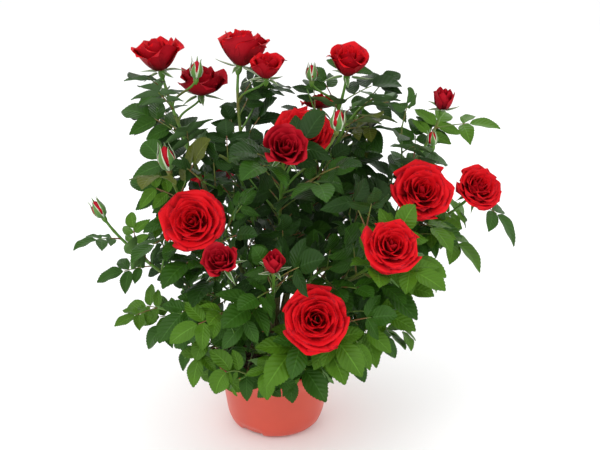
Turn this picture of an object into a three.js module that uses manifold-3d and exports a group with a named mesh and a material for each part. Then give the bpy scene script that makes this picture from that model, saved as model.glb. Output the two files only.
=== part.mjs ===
// A potted rose bush in full bloom, in millimetres, +Z up.
// The origin is the centre of the pot's underside. The front, which the most open blooms face, is -Y.
// One short woody crown stands in the compost and carries canes that arch outwards. Each cane ends in a leafy
// shoot of its own: a stem, side stalks, compound leaves, and the flowers at their tips.

import * as THREE from 'three';
import { mergeVertices } from 'three/addons/utils/BufferGeometryUtils.js';
import Module from 'manifold-3d';

const { clamp, degToRad, lerp } = THREE.MathUtils;
const wasm = await Module();
wasm.setup();

// Driving dimensions
const GAP = 0.3; // clear space between two pieces that meet
const POT = {
  height: 78, lip: 65, wall: 2, floor: 2.5,
  flat: 37, corner: 14, waist: 51, // the flat of the underside, and the rounded corner up to the wall
  neck: 57, neckHeight: 57, // where the wall starts to flare
  flareHeight: 9, // of the steep part of the lip
  inside: 6, // how much further out the floor's upper side is flat than its underside
  sides: 24,
};
const COMPOST = { level: 69, clear: 0.1, inside: 5, corner: 0.5 }; // slack at the wall, and its own foot
const CROWN = {
  flare: 14, radius: 9, tip: 7, height: 36, lean: 1,
  root: { size: 0.8, up: 3 }, neck: 9, upper: { size: 0.95, up: 0.6 }, // the rings between foot and tip
  socket: 1.2, // the room cut from the limbs about it, in gaps
  sides: 12,
};
const CANE = {
  foot: 2.1, tip: 1.3, stalk: 1, taper: 0.35, // radii, and how much of the foot's is lost on the way up
  rise: 0.38, run: 0.2, // how far the cane keeps its first and its last direction, as shares of its span
  stalkRise: 0.4, stalkRun: 0.3, // the same for a flower's side stalk
  lift: 0.1, // how much the tip of a shoot with no flower still rises
  sides: 5, twigSides: 3,
  boughSteps: 3, stemSteps: 6, stalkSteps: 3,
};
const STEEP = 0.95; // a limb this near to upright takes its level side from Y
const PARALLEL = 0.05; // two directions whose cross product is shorter than this count as one
const SLANT = [0.3, 0.2, 1]; // leaves are turned round their stem from the side square to this
const LEAF = {
  stalk: 42, // from the stem to the foot of the end leaflet
  stalkWidth: 2.2,
  length: 47, width: 29, // of the end leaflet
  thick: 1.1,
  pairs: [{ at: 0.82, size: 0.78 }, { at: 0.42, size: 0.62 }], // of side leaflets, along the stalk
  spread: 64, // degrees between a side leaflet and the stalk
  chord: 0.95, droop: 0.22, // from its foot to its tip, and how far the tip sinks, as shares of its length
  sag: 0.004, // how fast the side leaflets fall away from the stalk, per mm squared
  tilt: [48, 72], // degrees between the leaf and its stem
  turn: 144, // degrees from one leaf to the next, round the stem
  outward: 0.45, // how strongly a leaf leans out of the bush
  facing: 0.8, // how strongly its face turns out of the bush, against the light
  low: 0.06, top: 0.9, // where the leaves begin and end on a stem
  stray: 0.5, // how far a leaf may lie above its even place, as a share of the step to the next
  first: 1.12, shrink: 0.35, // size at the foot of a stem, and how much of it is lost on the way up
  vary: [0.9, 1.1], // sizes among neighbours
  young: 0.8, // above this share of a stem that flowers, a leaf has three leaflets
  tested: [0.25, 0.38, 0.5], // where its stalk is tested
  end: 0.8, // width of the stalk at the end leaflet
  tries: 9, retryTurn: 63, retryShrink: 0.03,
};
const MIDDLE = new THREE.Vector3(0, 0, 150); // leaves turn away from this point inside the bush,
const LIGHT = new THREE.Vector3(0, -0.5, 0.6); // and to the light, which falls on its front
const ROOM = {
  share: 0.9, // a leaf is nearer to its own stem than to another by this factor
  limb: 4.2, ownStem: 2.4, leaf: 2.2, crown: 2, pot: 3, // least distances
  above: 5, below: 1, petals: 1.08, beside: 2, // round a flower
  stemSteps: 14, stalkSteps: 8, boughSteps: 8, // the straight pieces that distances are taken to
};
const SEED = { first: 1322, shoot: 37 }; // of the leaves' places on the first shoot, and the step to the next
const UNDERSIDE = { height: 60, reach: 84, rise: 0.6 }; // the lowest leaves, which rise further out

// Bloom forms. A profile runs from the calyx to the middle, in shares of the bloom's radius: out from the
// axis, then up it. Its lobes are the tips of the petals.
const FLOWER = {
  neck: 0.45, // how deep its stalk ends under it, as a share of its depth and width
  lobes: 5, inner: 0.75, // the petals inside this share of its radius stand between the outer ones
  level: [0.2, 0.1, 1],
};
const FORMS = {
  full: {
    profile: [
      [0, -0.62], [0.2, -0.62], [0.7, -0.32], [1, -0.04], [0.74, 0.18], [0.52, 0.1], [0.4, 0.3], [0, 0.2],
    ],
    sides: 10, lobe: 0.07, depth: 0.62, rise: 0.3,
  },
  half: {
    profile: [[0, -0.85], [0.24, -0.85], [0.8, -0.24], [1, 0.16], [0.66, 0.4], [0.44, 0.28], [0, 0.46]],
    sides: 10, lobe: 0.07, depth: 0.85, rise: 0.46,
  },
  cup: {
    profile: [[0, -1.05], [0.3, -1.05], [0.76, -0.3], [1, 0.34], [0.72, 0.56], [0, 0.4]],
    sides: 8, lobe: 0.08, depth: 1.05, rise: 0.58,
  },
  bud: {
    profile: [[0, -1.4], [0.45, -1.4], [1, -0.35], [0.82, 0.5], [0, 1.4]],
    sides: 6, lobe: 0, depth: 1.4, rise: 1.4,
  },
};

// The shoots. foot: where the cane leaves the crown, as a bearing in degrees and a share of the crown's
// height; lean: its first angle from upright, in degrees; bare: the share of the cane below the leaves.
// leaves: how many it tries, between the shares low and top of its stem; size and droop: of those leaves,
// where they differ from the usual. A shoot with no flower ends at its tip.
// at: the middle of a flower; faces: the way it looks; width: across its petals; from: where its side stalk
// leaves the stem, as a share of the way up. The first flower ends the stem itself.
const LOW = { low: 0.35, top: 0.96, size: 0.85, droop: 0.12 };
const SKIRT = { lean: 62, bare: 0, low: 0.36, top: 0.98, size: 0.85, droop: 0.62 };
const SHOOTS = [
  { name: 'front_low', foot: [-73, 0.45], lean: 42, leaves: 5, bare: 0.3,
    flowers: [{ form: 'full', at: [41, -135, 182], faces: [0.05, -0.85, 0.5], width: 64 }] },
  { name: 'front_middle', foot: [-97, 0.7], lean: 26, leaves: 4, bare: 0.3,
    flowers: [{ form: 'cup', at: [3, -122, 232], faces: [0, -0.3, 0.95], width: 25 }] },
  { name: 'front_left', foot: [-129, 0.45], lean: 38, leaves: 5, bare: 0.3,
    flowers: [{ form: 'full', at: [-71, -88, 257], faces: [-0.1, -0.85, 0.5], width: 58 },
      { form: 'half', at: [-43, -128, 236], faces: [-0.15, -0.6, 0.78], width: 32, from: 0.62 }] },
  { name: 'left_far', foot: [-172, 0.45], lean: 50, leaves: 5, bare: 0.3, size: 0.75, top: 0.78,
    flowers: [{ form: 'bud', at: [-167, -30, 247], faces: [-0.45, 0, 0.9], width: 14 }] },
  { name: 'left_upper', foot: [-150, 0.7], lean: 26, leaves: 5, bare: 0.35,
    flowers: [{ form: 'bud', at: [-96, -52, 304], faces: [-0.15, -0.1, 1], width: 18 }] },
  { name: 'top_left', foot: [170, 0.7], lean: 20, leaves: 5, bare: 0.35,
    flowers: [{ form: 'cup', at: [-108, 0, 394], faces: [-0.15, -0.1, 1], width: 40 },
      { form: 'half', at: [-70, 34, 362], faces: [0.1, -0.1, 0.99], width: 48, from: 0.6 },
      { form: 'bud', at: [-70, -12, 378], faces: [0.1, -0.1, 1], width: 13, from: 0.7 }] },
  { name: 'top_centre', foot: [140, 1], lean: 6, leaves: 4, bare: 0.35, top: 0.7,
    flowers: [{ form: 'cup', at: [-28, 22, 397], faces: [0.2, 0.1, 0.97], width: 44 },
      { form: 'cup', at: [-5, -12, 384], faces: [0.05, -0.2, 0.97], width: 30, from: 0.68 }] },
  { name: 'centre', foot: [-80, 1], lean: 12, leaves: 3, bare: 0.35,
    flowers: [{ form: 'half', at: [14, -86, 325], faces: [0.1, -0.75, 0.65], width: 40 },
      { form: 'full', at: [30, -14, 323], faces: [0.05, -0.6, 0.78], width: 58, from: 0.5 },
      { form: 'bud', at: [60, -58, 341], faces: [0.1, -0.1, 1], width: 15, from: 0.42 }] },
  { name: 'top_right', foot: [38, 1], lean: 12, leaves: 4, bare: 0.35,
    flowers: [{ form: 'cup', at: [73, 10, 385], faces: [0.1, -0.3, 0.95], width: 37 },
      { form: 'full', at: [46, 56, 336], faces: [0, 0.25, 0.97], width: 42, from: 0.55 },
      { form: 'bud', at: [37, 4, 372], faces: [0, -0.1, 1], width: 12, from: 0.68 }] },
  { name: 'right_upper', foot: [-5, 0.7], lean: 28, leaves: 5, bare: 0.35,
    flowers: [{ form: 'cup', at: [165, 10, 348], faces: [0.1, -0.2, 0.97], width: 27 },
      { form: 'bud', at: [152, -12, 312], faces: [-0.1, -0.1, 1], width: 11, from: 0.78 }] },
  { name: 'right', foot: [-22, 0.45], lean: 38, leaves: 5, bare: 0.35,
    flowers: [{ form: 'full', at: [139, -64, 278], faces: [0.1, -0.75, 0.65], width: 60 }] },
  { name: 'right_far', foot: [14, 0.45], lean: 48, leaves: 5, bare: 0.3, droop: 0.55,
    flowers: [{ form: 'full', at: [200, -22, 269], faces: [0.3, -0.6, 0.72], width: 51 }] },
  { name: 'right_front', foot: [-50, 0.7], lean: 30, leaves: 5, bare: 0.3,
    flowers: [{ form: 'full', at: [107, -116, 245], faces: [0.05, -0.7, 0.7], width: 53 }] },
  { name: 'back_left', foot: [130, 0.45], lean: 36, leaves: 4, bare: 0.3,
    flowers: [{ form: 'full', at: [-72, 102, 238], faces: [-0.4, 0.7, 0.6], width: 56 },
      { form: 'bud', at: [-112, 70, 232], faces: [-0.5, 0.2, 0.85], width: 15, from: 0.6 }] },
  { name: 'back', foot: [92, 0.45], lean: 40, leaves: 3, bare: 0.3,
    flowers: [{ form: 'full', at: [-2, 128, 190], faces: [0, 0.8, 0.6], width: 60 },
      { form: 'half', at: [-32, 112, 226], faces: [-0.1, 0.5, 0.85], width: 30, from: 0.6 }] },
  { name: 'back_right', foot: [48, 0.45], lean: 38, leaves: 3, bare: 0.3,
    flowers: [{ form: 'full', at: [98, 92, 226], faces: [0.4, 0.65, 0.6], width: 56 }] },
  { name: 'back_top', foot: [78, 0.85], lean: 16, leaves: 4, bare: 0.35,
    flowers: [{ form: 'half', at: [16, 88, 292], faces: [0, 0.5, 0.85], width: 42 }] },
  // leafy shoots with no flower, which fill the middle
  { name: 'middle_front', foot: [-36, 0.85], lean: 26, leaves: 5, bare: 0.3, tip: [58, -74, 205] },
  { name: 'middle_left', foot: [-122, 0.85], lean: 20, leaves: 3, bare: 0.3, tip: [-30, -58, 210] },
  { name: 'inner_right', foot: [-20, 1], lean: 14, leaves: 4, bare: 0.35, tip: [98, -8, 350] },
  { name: 'inner_left', foot: [-160, 1], lean: 12, leaves: 3, bare: 0.35, tip: [-50, -28, 300] },
  // leafy shoots low down, which reach out to the sides
  { name: 'left_low', foot: [162, 0.2], lean: 58, leaves: 4, bare: 0.3, tip: [-118, -30, 144], ...LOW },
  { name: 'right_low', foot: [-26, 0.3], lean: 60, leaves: 4, bare: 0.3, tip: [124, -56, 146], ...LOW },
  // leafy shoots low down, which hang their leaves over the lip of the pot
  { name: 'skirt_left', foot: [-165, 0.2], leaves: 4, tip: [-84, -38, 130], ...SKIRT },
  { name: 'skirt_front_left', foot: [-122, 0.2], leaves: 4, tip: [-54, -76, 124], ...SKIRT },
  { name: 'skirt_front', foot: [-84, 0.2], leaves: 5, tip: [-4, -94, 120], ...SKIRT },
  { name: 'skirt_front_right', foot: [-46, 0.2], leaves: 4, tip: [58, -74, 122], ...SKIRT },
  { name: 'skirt_right', foot: [-4, 0.2], leaves: 3, tip: [84, -44, 122], ...SKIRT },
  { name: 'skirt_back_right', foot: [55, 0.2], leaves: 3, tip: [52, 72, 118], ...SKIRT },
  { name: 'skirt_back_left', foot: [128, 0.2], leaves: 3, tip: [-56, 70, 120], ...SKIRT },
];

const COLOURS = {
  pot: { color: 0xd5604c, roughness: 0.45 },
  compost: { color: 0x2e2118, roughness: 0.95 },
  bark: { color: 0x6b5433, roughness: 0.85 },
  cane: { color: 0x4d6a2a, roughness: 0.6 },
  foliage: { color: 0x2c5c22, roughness: 0.5 },
};

// A random series, and how near two corners of a mesh count as one
const SERIES = { factor: 16807, modulus: 2147483647 };
const SAME = { merge: 1e-4, tip: 0.01 };

// Small helpers
const UP = new THREE.Vector3(0, 0, 1);
const vector = ([x, y, z]) => new THREE.Vector3(x, y, z);
const unit = (list) => vector(list).normalize();
const along = (start, direction, distance) => start.clone().addScaledVector(direction, distance);

// The same series of numbers from 0 to 1 for the same seed.
function seeded(seed) {
  let state = seed;
  return () => {
    state = (state * SERIES.factor) % SERIES.modulus;
    return state / SERIES.modulus;
  };
}

// A closed mesh as a solid. Corners that coincide are joined, and faces that this flattens are dropped.
function solid(geometry) {
  const bare = geometry.clone();
  bare.deleteAttribute('normal');
  bare.deleteAttribute('uv');
  const merged = mergeVertices(bare, SAME.merge);
  const corners = merged.index.array;
  const kept = [];
  for (let i = 0; i < corners.length; i += 3) {
    const [a, b, c] = corners.slice(i, i + 3);
    if (a !== b && b !== c && c !== a) kept.push(a, b, c);
  }
  return new wasm.Manifold(new wasm.Mesh({
    numProp: 3,
    vertProperties: merged.attributes.position.array,
    triVerts: new Uint32Array(kept),
  }));
}

function meshOf(body, name, look) {
  const { vertProperties, triVerts } = body.getMesh();
  const geometry = new THREE.BufferGeometry();
  geometry.setAttribute('position', new THREE.BufferAttribute(new Float32Array(vertProperties), 3));
  geometry.setIndex(new THREE.BufferAttribute(new Uint32Array(triVerts), 1));
  geometry.computeVertexNormals();
  const mesh = new THREE.Mesh(geometry, new THREE.MeshStandardMaterial({ metalness: 0, ...look }));
  mesh.name = name;
  return mesh;
}

// A profile turned about Z: each point is out from the axis, then up.
function turned(profile, sides) {
  const points = profile.map(([out, up]) => new THREE.Vector2(out, up));
  return new THREE.LatheGeometry(points, sides).rotateX(Math.PI / 2);
}

// Moves every corner of a geometry to where place puts it.
function bend(geometry, place) {
  const spots = geometry.getAttribute('position');
  for (let i = 0; i < spots.count; i++) {
    const { x, y, z } = place(spots.getX(i), spots.getY(i), spots.getZ(i));
    spots.setXYZ(i, x, y, z);
  }
  return geometry;
}

// Two directions square to a given one: the second is as near as can be to the preferred direction.
function across(direction, preferred) {
  const side = new THREE.Vector3().crossVectors(direction, preferred);
  if (side.length() < PARALLEL) side.set(1, 0, 0).addScaledVector(direction, -direction.x);
  side.normalize();
  return [side, new THREE.Vector3().crossVectors(side, direction).normalize()];
}

// A tapered limb along a curve: a turned rod whose rings are laid square to the curve.
function limb(curve, radiusAt, sides, steps) {
  const rings = Array.from({ length: steps + 1 }, (_, i) => [1, i]);
  const rod = turned([[0, 0], ...rings, [0, steps]], sides);
  const chord = curve.getPoint(1).sub(curve.getPoint(0)).normalize();
  const [level] = across(chord, Math.abs(chord.z) > STEEP ? new THREE.Vector3(0, 1, 0) : UP);
  return solid(bend(rod, (x, y, z) => {
    const t = z / steps;
    const tangent = curve.getTangent(t);
    const side = along(level, tangent, -level.dot(tangent)).normalize();
    const other = new THREE.Vector3().crossVectors(tangent, side);
    const radius = radiusAt(t);
    return along(along(curve.getPoint(t), side, x * radius), other, y * radius);
  }));
}

// The part of a curve between two shares of it.
function stretch(curve, from, to) {
  const part = new THREE.Curve();
  part.getPoint = (t) => curve.getPoint(lerp(from, to, t));
  return part;
}

// A curve that leaves its foot and reaches its tip in given directions.
function arc(foot, start, rise, tip, aim, run) {
  const span = foot.distanceTo(tip);
  const inner = [along(foot, start, span * rise), along(tip, aim, -span * run)];
  return new THREE.CubicBezierCurve3(foot, ...inner, tip);
}

// Where the stalk enters a flower's calyx
function neckOf({ form, at, faces, width }) {
  return along(vector(at), unit(faces), -FORMS[form].depth * width * FLOWER.neck);
}

function caneLine({ foot: [bearing, share], lean, flowers, tip }) {
  const angle = degToRad(bearing);
  const tilt = degToRad(lean);
  const outward = new THREE.Vector3(Math.cos(angle), Math.sin(angle), 0);
  const foot = outward.clone().multiplyScalar(lerp(CROWN.radius, CROWN.tip, share) - CANE.foot);
  foot.z = COMPOST.level + CROWN.height * share;
  const start = outward.clone().multiplyScalar(Math.sin(tilt)).addScaledVector(UP, Math.cos(tilt));
  const end = flowers ? neckOf(flowers[0]) : vector(tip);
  const aim = flowers ? unit(flowers[0].faces) : unit([start.x, start.y, CANE.lift]);
  return arc(foot, start, CANE.rise, end, aim, CANE.run);
}

function sideLine(stem, flower) {
  const foot = stem.getPoint(flower.from);
  const start = stem.getTangent(flower.from);
  return arc(foot, start, CANE.stalkRise, neckOf(flower), unit(flower.faces), CANE.stalkRun);
}

const lines = SHOOTS.map((shoot) => {
  const cane = caneLine(shoot);
  const stem = stretch(cane, shoot.bare, 1);
  const sides = (shoot.flowers ?? []).slice(1).map((flower) => sideLine(stem, flower));
  return { cane, stem, sides };
});

// The room that each shoot's leaves have
const pointsOf = (curve, steps) => Array.from({ length: steps + 1 }, (_, i) => curve.getPoint(i / steps));
const stems = lines.map(({ stem, sides }) => [
  pointsOf(stem, ROOM.stemSteps), ...sides.map((side) => pointsOf(side, ROOM.stalkSteps)),
]);
const boughs = SHOOTS.flatMap(({ bare }, i) => (
  bare ? [pointsOf(stretch(lines[i].cane, 0, bare), ROOM.boughSteps)] : []
));
const crownAxis = [0, CROWN.height].map((up) => new THREE.Vector3(0, 0, COMPOST.level + up));
const allFlowers = SHOOTS.flatMap(({ flowers }) => flowers ?? []);

function distanceTo(line, point) {
  let least = Infinity;
  for (let i = 1; i < line.length; i++) {
    const step = line[i].clone().sub(line[i - 1]);
    const t = clamp(point.clone().sub(line[i - 1]).dot(step) / step.lengthSq(), 0, 1);
    least = Math.min(least, point.distanceTo(along(line[i - 1], step, t)));
  }
  return least;
}

// Whether a point lies in the rounded room about a flower's petals and calyx.
function inFlower(point, { form, at, faces, width }) {
  const half = width / 2;
  const offset = point.clone().sub(vector(at));
  const up = offset.dot(unit(faces));
  const out = Math.sqrt(Math.max(0, offset.lengthSq() - up * up));
  const { rise, depth } = FORMS[form];
  const tall = up > 0 ? half * rise + ROOM.above : half * depth + ROOM.below;
  return (up / tall) ** 2 + (out / (half * ROOM.petals + ROOM.beside)) ** 2 < 1;
}

// Whether a shoot's leaves may pass through a point.
function mayHold(point, owner) {
  const out = Math.hypot(point.x, point.y);
  if (point.z < UNDERSIDE.height + UNDERSIDE.rise * Math.max(0, out - UNDERSIDE.reach)) return false;
  if (point.z < POT.height + ROOM.pot && out < POT.lip + ROOM.pot) return false;
  if (allFlowers.some((flower) => inFlower(point, flower))) return false;
  if (distanceTo(crownAxis, point) < CROWN.radius + ROOM.crown) return false;
  if (boughs.some((line) => distanceTo(line, point) < ROOM.limb)) return false;
  const own = Math.min(...stems[owner].map((line) => distanceTo(line, point)));
  const least = Math.max(own * ROOM.share, ROOM.limb);
  return own > ROOM.ownStem
    && stems.every((group, i) => i === owner || group.every((line) => distanceTo(line, point) > least));
}

// The leaves
// A leaflet's points: out from its midrib, in shares of half the width, and along it, in shares of its length
const END_OUTLINE = [[0.92, 0.3], [0.8, 0.64], [0, 1], [-0.8, 0.64], [-0.92, 0.3]];
const SIDE_OUTLINE = [[1, 0.42], [0, 1], [-1, 0.42]];
const TESTED = {
  foot: [0, 0.12], middle: [0, 0.5], tip: [0, 1], right: [0.95, 0.45], left: [-0.95, 0.45],
  others: [
    [0, 0.3], [0.6, 0.25], [-0.6, 0.25], [0.5, 0.45], [-0.5, 0.45], [0.45, 0.7], [-0.45, 0.7], [0, 0.78],
  ],
};

// One compound leaf, flat at first: x across its stalk, y along it. It is then laid along its midrib's arc.
function leafAt(origin, direction, size, count, droop) {
  const reach = (LEAF.stalk + LEAF.length) * size;
  const out = Math.sqrt(LEAF.chord ** 2 - droop ** 2);
  const tip = along(along(origin, direction, reach * out), UP, -reach * droop);
  const midrib = new THREE.QuadraticBezierCurve3(origin, along(origin, direction, reach * 0.5), tip);
  const lit = along(LIGHT, origin.clone().sub(MIDDLE).normalize(), LEAF.facing).normalize();
  const leaflet = (at, turn, share) => ({
    y: LEAF.stalk * size * at, turn, length: LEAF.length * size * share, width: LEAF.width * size * share,
  });
  const spread = degToRad(LEAF.spread);
  const pairs = LEAF.pairs.slice(0, (count - 1) / 2);
  const side = pairs.flatMap((pair) => [spread, -spread].map((turn) => leaflet(pair.at, turn, pair.size)));
  return { midrib, reach, lit, stalk: LEAF.stalk * size, leaflets: [leaflet(1, 0, 1), ...side] };
}

// A point of the flat leaf, where the arc carries it.
function onLeaf(leaf, x, y, z = 0) {
  const t = y / leaf.reach;
  const [side, face] = across(leaf.midrib.getTangent(t), leaf.lit);
  return along(along(leaf.midrib.getPoint(t), side, x), face, z - LEAF.sag * x * x);
}

function onFlatLeaf({ y, turn, length, width }, [out, ahead]) {
  const [right, forward] = [out * width / 2, ahead * length];
  return [
    right * Math.cos(turn) + forward * Math.sin(turn),
    y - right * Math.sin(turn) + forward * Math.cos(turn),
  ];
}

// The points at which a leaflet is tested, where the leaf's arc carries them.
function testedPoints(leaf, leaflet) {
  const place = (spot) => onLeaf(leaf, ...onFlatLeaf(leaflet, spot));
  const { others, ...named } = TESTED;
  const points = Object.fromEntries(Object.entries(named).map(([name, spot]) => [name, place(spot)]));
  return { ...points, all: [...Object.values(points), ...others.map(place)] };
}

const settled = []; // the leaflets of the whole bush that have their place

function crowds({ middle, all }) {
  return settled.some((other) => other.middle.distanceTo(middle) < other.length && all.some((point) => {
    const offset = point.clone().sub(other.middle);
    return Math.abs(offset.dot(other.face)) < ROOM.leaf && offset.length() < other.length / 2;
  }));
}

function settle(leaf, leaflet) {
  const { foot, middle, tip, right, left } = testedPoints(leaf, leaflet);
  const face = right.sub(left).cross(tip.sub(foot)).normalize();
  settled.push({ middle, face, length: leaflet.length });
}

// The leaves of one shoot, from the foot of its stem upwards. One that finds no room turns on, a little
// smaller each time; leaflets with no room are left off, and a leaf that keeps too few is skipped.
function leavesOf(shoot, index) {
  const draw = seeded(SEED.first + index * SEED.shoot);
  const { stem } = lines[index];
  const { low = LEAF.low, top = LEAF.top, size: share = 1, droop = LEAF.droop } = shoot;
  const kept = [];
  let bearing = draw() * Math.PI * 2;
  for (let i = 0; i < shoot.leaves; i++) {
    const t = lerp(low, top, (i + draw() * LEAF.stray) / (shoot.leaves - LEAF.stray));
    const size = (LEAF.first - LEAF.shrink * t) * share * lerp(...LEAF.vary, draw());
    const tilt = degToRad(lerp(...LEAF.tilt, draw()));
    const count = t > LEAF.young && shoot.flowers ? 3 : 5;
    const origin = stem.getPoint(t);
    const tangent = stem.getTangent(t);
    const outward = origin.clone().sub(MIDDLE).normalize();
    const [side, other] = across(tangent, unit(SLANT));
    let best = { leaflets: { length: count / 2 } };
    for (let k = 0; k < LEAF.tries && best.leaflets.length < count; k++) {
      const angle = bearing + k * degToRad(LEAF.retryTurn);
      const sideways = along(side.clone().multiplyScalar(Math.cos(angle)), other, Math.sin(angle));
      const direction = tangent.clone().multiplyScalar(Math.cos(tilt))
        .addScaledVector(sideways, Math.sin(tilt)).addScaledVector(outward, LEAF.outward).normalize();
      const scale = size * (1 - LEAF.retryShrink * k);
      const leaf = leafAt(origin, direction, scale, count, droop);
      if (!LEAF.tested.every((spot) => mayHold(leaf.midrib.getPoint(spot), index))) continue;
      const leaflets = leaf.leaflets.filter((leaflet) => {
        const points = testedPoints(leaf, leaflet);
        return !crowds(points) && points.all.every((point) => mayHold(point, index));
      });
      if (leaflets.length > best.leaflets.length) best = { leaf, leaflets };
    }
    if (best.leaf) {
      kept.push(best);
      best.leaflets.forEach((leaflet) => settle(best.leaf, leaflet));
    }
    bearing += degToRad(LEAF.turn);
  }
  return kept;
}

// The leaf's outline runs up its right side, round the end leaflet and down its left side. Each leaflet's
// point is sharp, and the foot is narrow where it is sunk in the stem.
function leafSolid({ leaf, leaflets }) {
  const half = LEAF.stalkWidth / 2;
  const place = (leaflet, outline) => outline.map((spot) => onFlatLeaf(leaflet, spot));
  const sideOf = (sign) => leaflets.filter(({ turn }) => turn * sign > 0).sort((a, b) => sign * (a.y - b.y))
    .flatMap((leaflet) => [
      [half * sign, leaflet.y - half * sign],
      ...place(leaflet, SIDE_OUTLINE),
      [half * sign, leaflet.y + half * sign],
    ]);
  const ends = leaflets.filter(({ turn }) => turn === 0).flatMap((leaflet) => place(leaflet, END_OUTLINE));
  const outline = [
    [half / 2, 0], ...sideOf(1), [half * LEAF.end, leaf.stalk],
    ...ends,
    [-half * LEAF.end, leaf.stalk], ...sideOf(-1), [-half / 2, 0],
  ];
  const tips = leaflets.map((leaflet) => new THREE.Vector2(...onFlatLeaf(leaflet, TESTED.tip)));
  const shape = new THREE.Shape(outline.map(([x, y]) => new THREE.Vector2(x, y)));
  const blade = new THREE.ExtrudeGeometry(shape, { depth: LEAF.thick, bevelEnabled: false });
  return solid(bend(blade, (x, y, z) => {
    const sharp = tips.some((tip) => tip.distanceTo({ x, y }) < SAME.tip);
    return onLeaf(leaf, x, y, sharp ? 0 : z - LEAF.thick / 2);
  }));
}

function flowerSolid({ form, at, faces, width }) {
  const { profile, sides, lobe } = FORMS[form];
  const rosette = turned(profile, sides);
  const facing = unit(faces);
  const [side, other] = across(facing, unit(FLOWER.level));
  const frame = new THREE.Matrix4().makeBasis(other, side, facing);
  const half = width / 2;
  return solid(bend(rosette, (x, y, z) => {
    const out = Math.hypot(x, y);
    const inner = out < FLOWER.inner ? Math.PI : 0;
    const petal = 1 + lobe * out * Math.cos(Math.atan2(y, x) * FLOWER.lobes + inner);
    const place = new THREE.Vector3(x * petal, y * petal, z).multiplyScalar(half);
    return place.applyMatrix4(frame).add(vector(at));
  }));
}

// The pieces
function makePot() {
  const { height, lip, wall, floor, flat, corner, waist, neck, neckHeight, flareHeight, inside } = POT;
  const half = Math.SQRT1_2;
  return solid(turned([
    [0, 0], [flat, 0], [flat + (waist - flat) * half, corner * (1 - half)], [waist, corner],
    [neck, neckHeight], [lip - wall, height - flareHeight], [lip, height - wall / 2], [lip - wall, height],
    [neck - wall, neckHeight], [waist - wall, corner], [flat + inside, floor], [0, floor],
  ], POT.sides));
}

function makeCompost() {
  const { height, lip, wall, floor, flat, corner, waist, neck, neckHeight, sides } = POT;
  const { level } = COMPOST;
  const clear = wall + GAP + COMPOST.clear;
  const top = lerp(neck, lip, (level - neckHeight) / (height - neckHeight));
  return solid(turned([
    [0, floor + GAP], [flat + COMPOST.inside, floor + GAP], [waist - clear, corner + COMPOST.corner],
    [neck - clear, neckHeight], [top - clear, level], [0, level],
  ], sides));
}

// The crown's flat foot is on the compost. It can be made larger all round, to cut it from the limbs.
function makeCrown(grow = 0) {
  const { flare, radius, tip, height, lean, root, neck, upper, sides } = CROWN;
  const rod = turned([
    [0, -grow], [flare + grow, -grow], [flare * root.size + grow, root.up + grow], [radius + grow, neck],
    [radius * upper.size + grow, height * upper.up], [tip + grow, height + grow], [0, height + grow],
  ], sides);
  const foot = COMPOST.level + GAP;
  return solid(bend(rod, (x, y, z) => ({ x: x + lean * z / height, y, z: z + foot })));
}

function makeBough({ bare }, { cane }) {
  const radiusAt = (t) => CANE.foot * (1 - CANE.taper * bare * t);
  return limb(stretch(cane, 0, bare), radiusAt, CANE.sides, CANE.boughSteps);
}

function makeShoot(shoot, index) {
  const { cane, sides } = lines[index];
  const { bare, flowers = [] } = shoot;
  const stem = stretch(cane, bare ? bare + GAP / cane.getLength() : 0, 1);
  const foot = CANE.foot * (1 - CANE.taper * bare);
  return wasm.Manifold.union([
    limb(stem, (t) => lerp(foot, CANE.tip, t), CANE.twigSides, CANE.stemSteps),
    ...sides.map((side) => (
      limb(side, (t) => lerp(CANE.tip, CANE.stalk, t), CANE.twigSides, CANE.stalkSteps)
    )),
    ...flowers.map(flowerSolid),
    ...leavesOf(shoot, index).map(leafSolid),
  ]);
}

const socket = makeCrown(GAP * CROWN.socket);
const bush = new THREE.Group();
bush.add(meshOf(makePot(), 'pot', COLOURS.pot));
bush.add(meshOf(makeCompost(), 'compost', COLOURS.compost));
bush.add(meshOf(makeCrown(), 'crown', COLOURS.bark));
SHOOTS.forEach((shoot, i) => {
  if (shoot.bare) {
    bush.add(meshOf(makeBough(shoot, lines[i]).subtract(socket), `cane_${shoot.name}`, COLOURS.cane));
  }
  bush.add(meshOf(makeShoot(shoot, i).subtract(socket), `shoot_${shoot.name}`, COLOURS.foliage));
});

export default bush;
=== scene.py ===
"""A potted patio rose in full bloom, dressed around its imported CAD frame. Metres, +Z up, front towards -Y.

The frame's canes, side stalks and leaves are laid out here again by the same seeded rule as in the part's
source, in millimetres, and carried on to finer twigs and smaller leaves within the same reach.
"""

import math

import bpy
import numpy as np
from bpy.props import FloatProperty, FloatVectorProperty, PointerProperty
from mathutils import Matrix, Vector, noise


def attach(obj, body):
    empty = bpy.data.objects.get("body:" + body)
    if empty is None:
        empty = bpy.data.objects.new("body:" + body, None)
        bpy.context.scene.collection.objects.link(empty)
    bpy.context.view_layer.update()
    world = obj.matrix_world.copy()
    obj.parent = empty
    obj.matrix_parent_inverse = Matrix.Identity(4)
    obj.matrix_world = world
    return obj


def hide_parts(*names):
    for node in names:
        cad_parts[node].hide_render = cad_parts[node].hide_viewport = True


bl_info = {
    "name": "Potted rose bush",
    "version": (1, 0, 0),
    "blender": (4, 5, 0),
    "location": "3D View > Sidebar > Rose bush",
    "description": "Builds the looks of a potted rose bush around its CAD frame",
    "category": "Add Mesh",
}

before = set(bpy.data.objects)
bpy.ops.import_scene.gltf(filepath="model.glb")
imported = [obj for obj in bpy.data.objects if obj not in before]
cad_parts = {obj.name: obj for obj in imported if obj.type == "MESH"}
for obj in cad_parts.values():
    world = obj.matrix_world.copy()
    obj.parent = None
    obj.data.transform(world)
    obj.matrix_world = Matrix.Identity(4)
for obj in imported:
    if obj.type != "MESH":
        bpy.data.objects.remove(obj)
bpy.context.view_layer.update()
MM = 0.001

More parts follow.
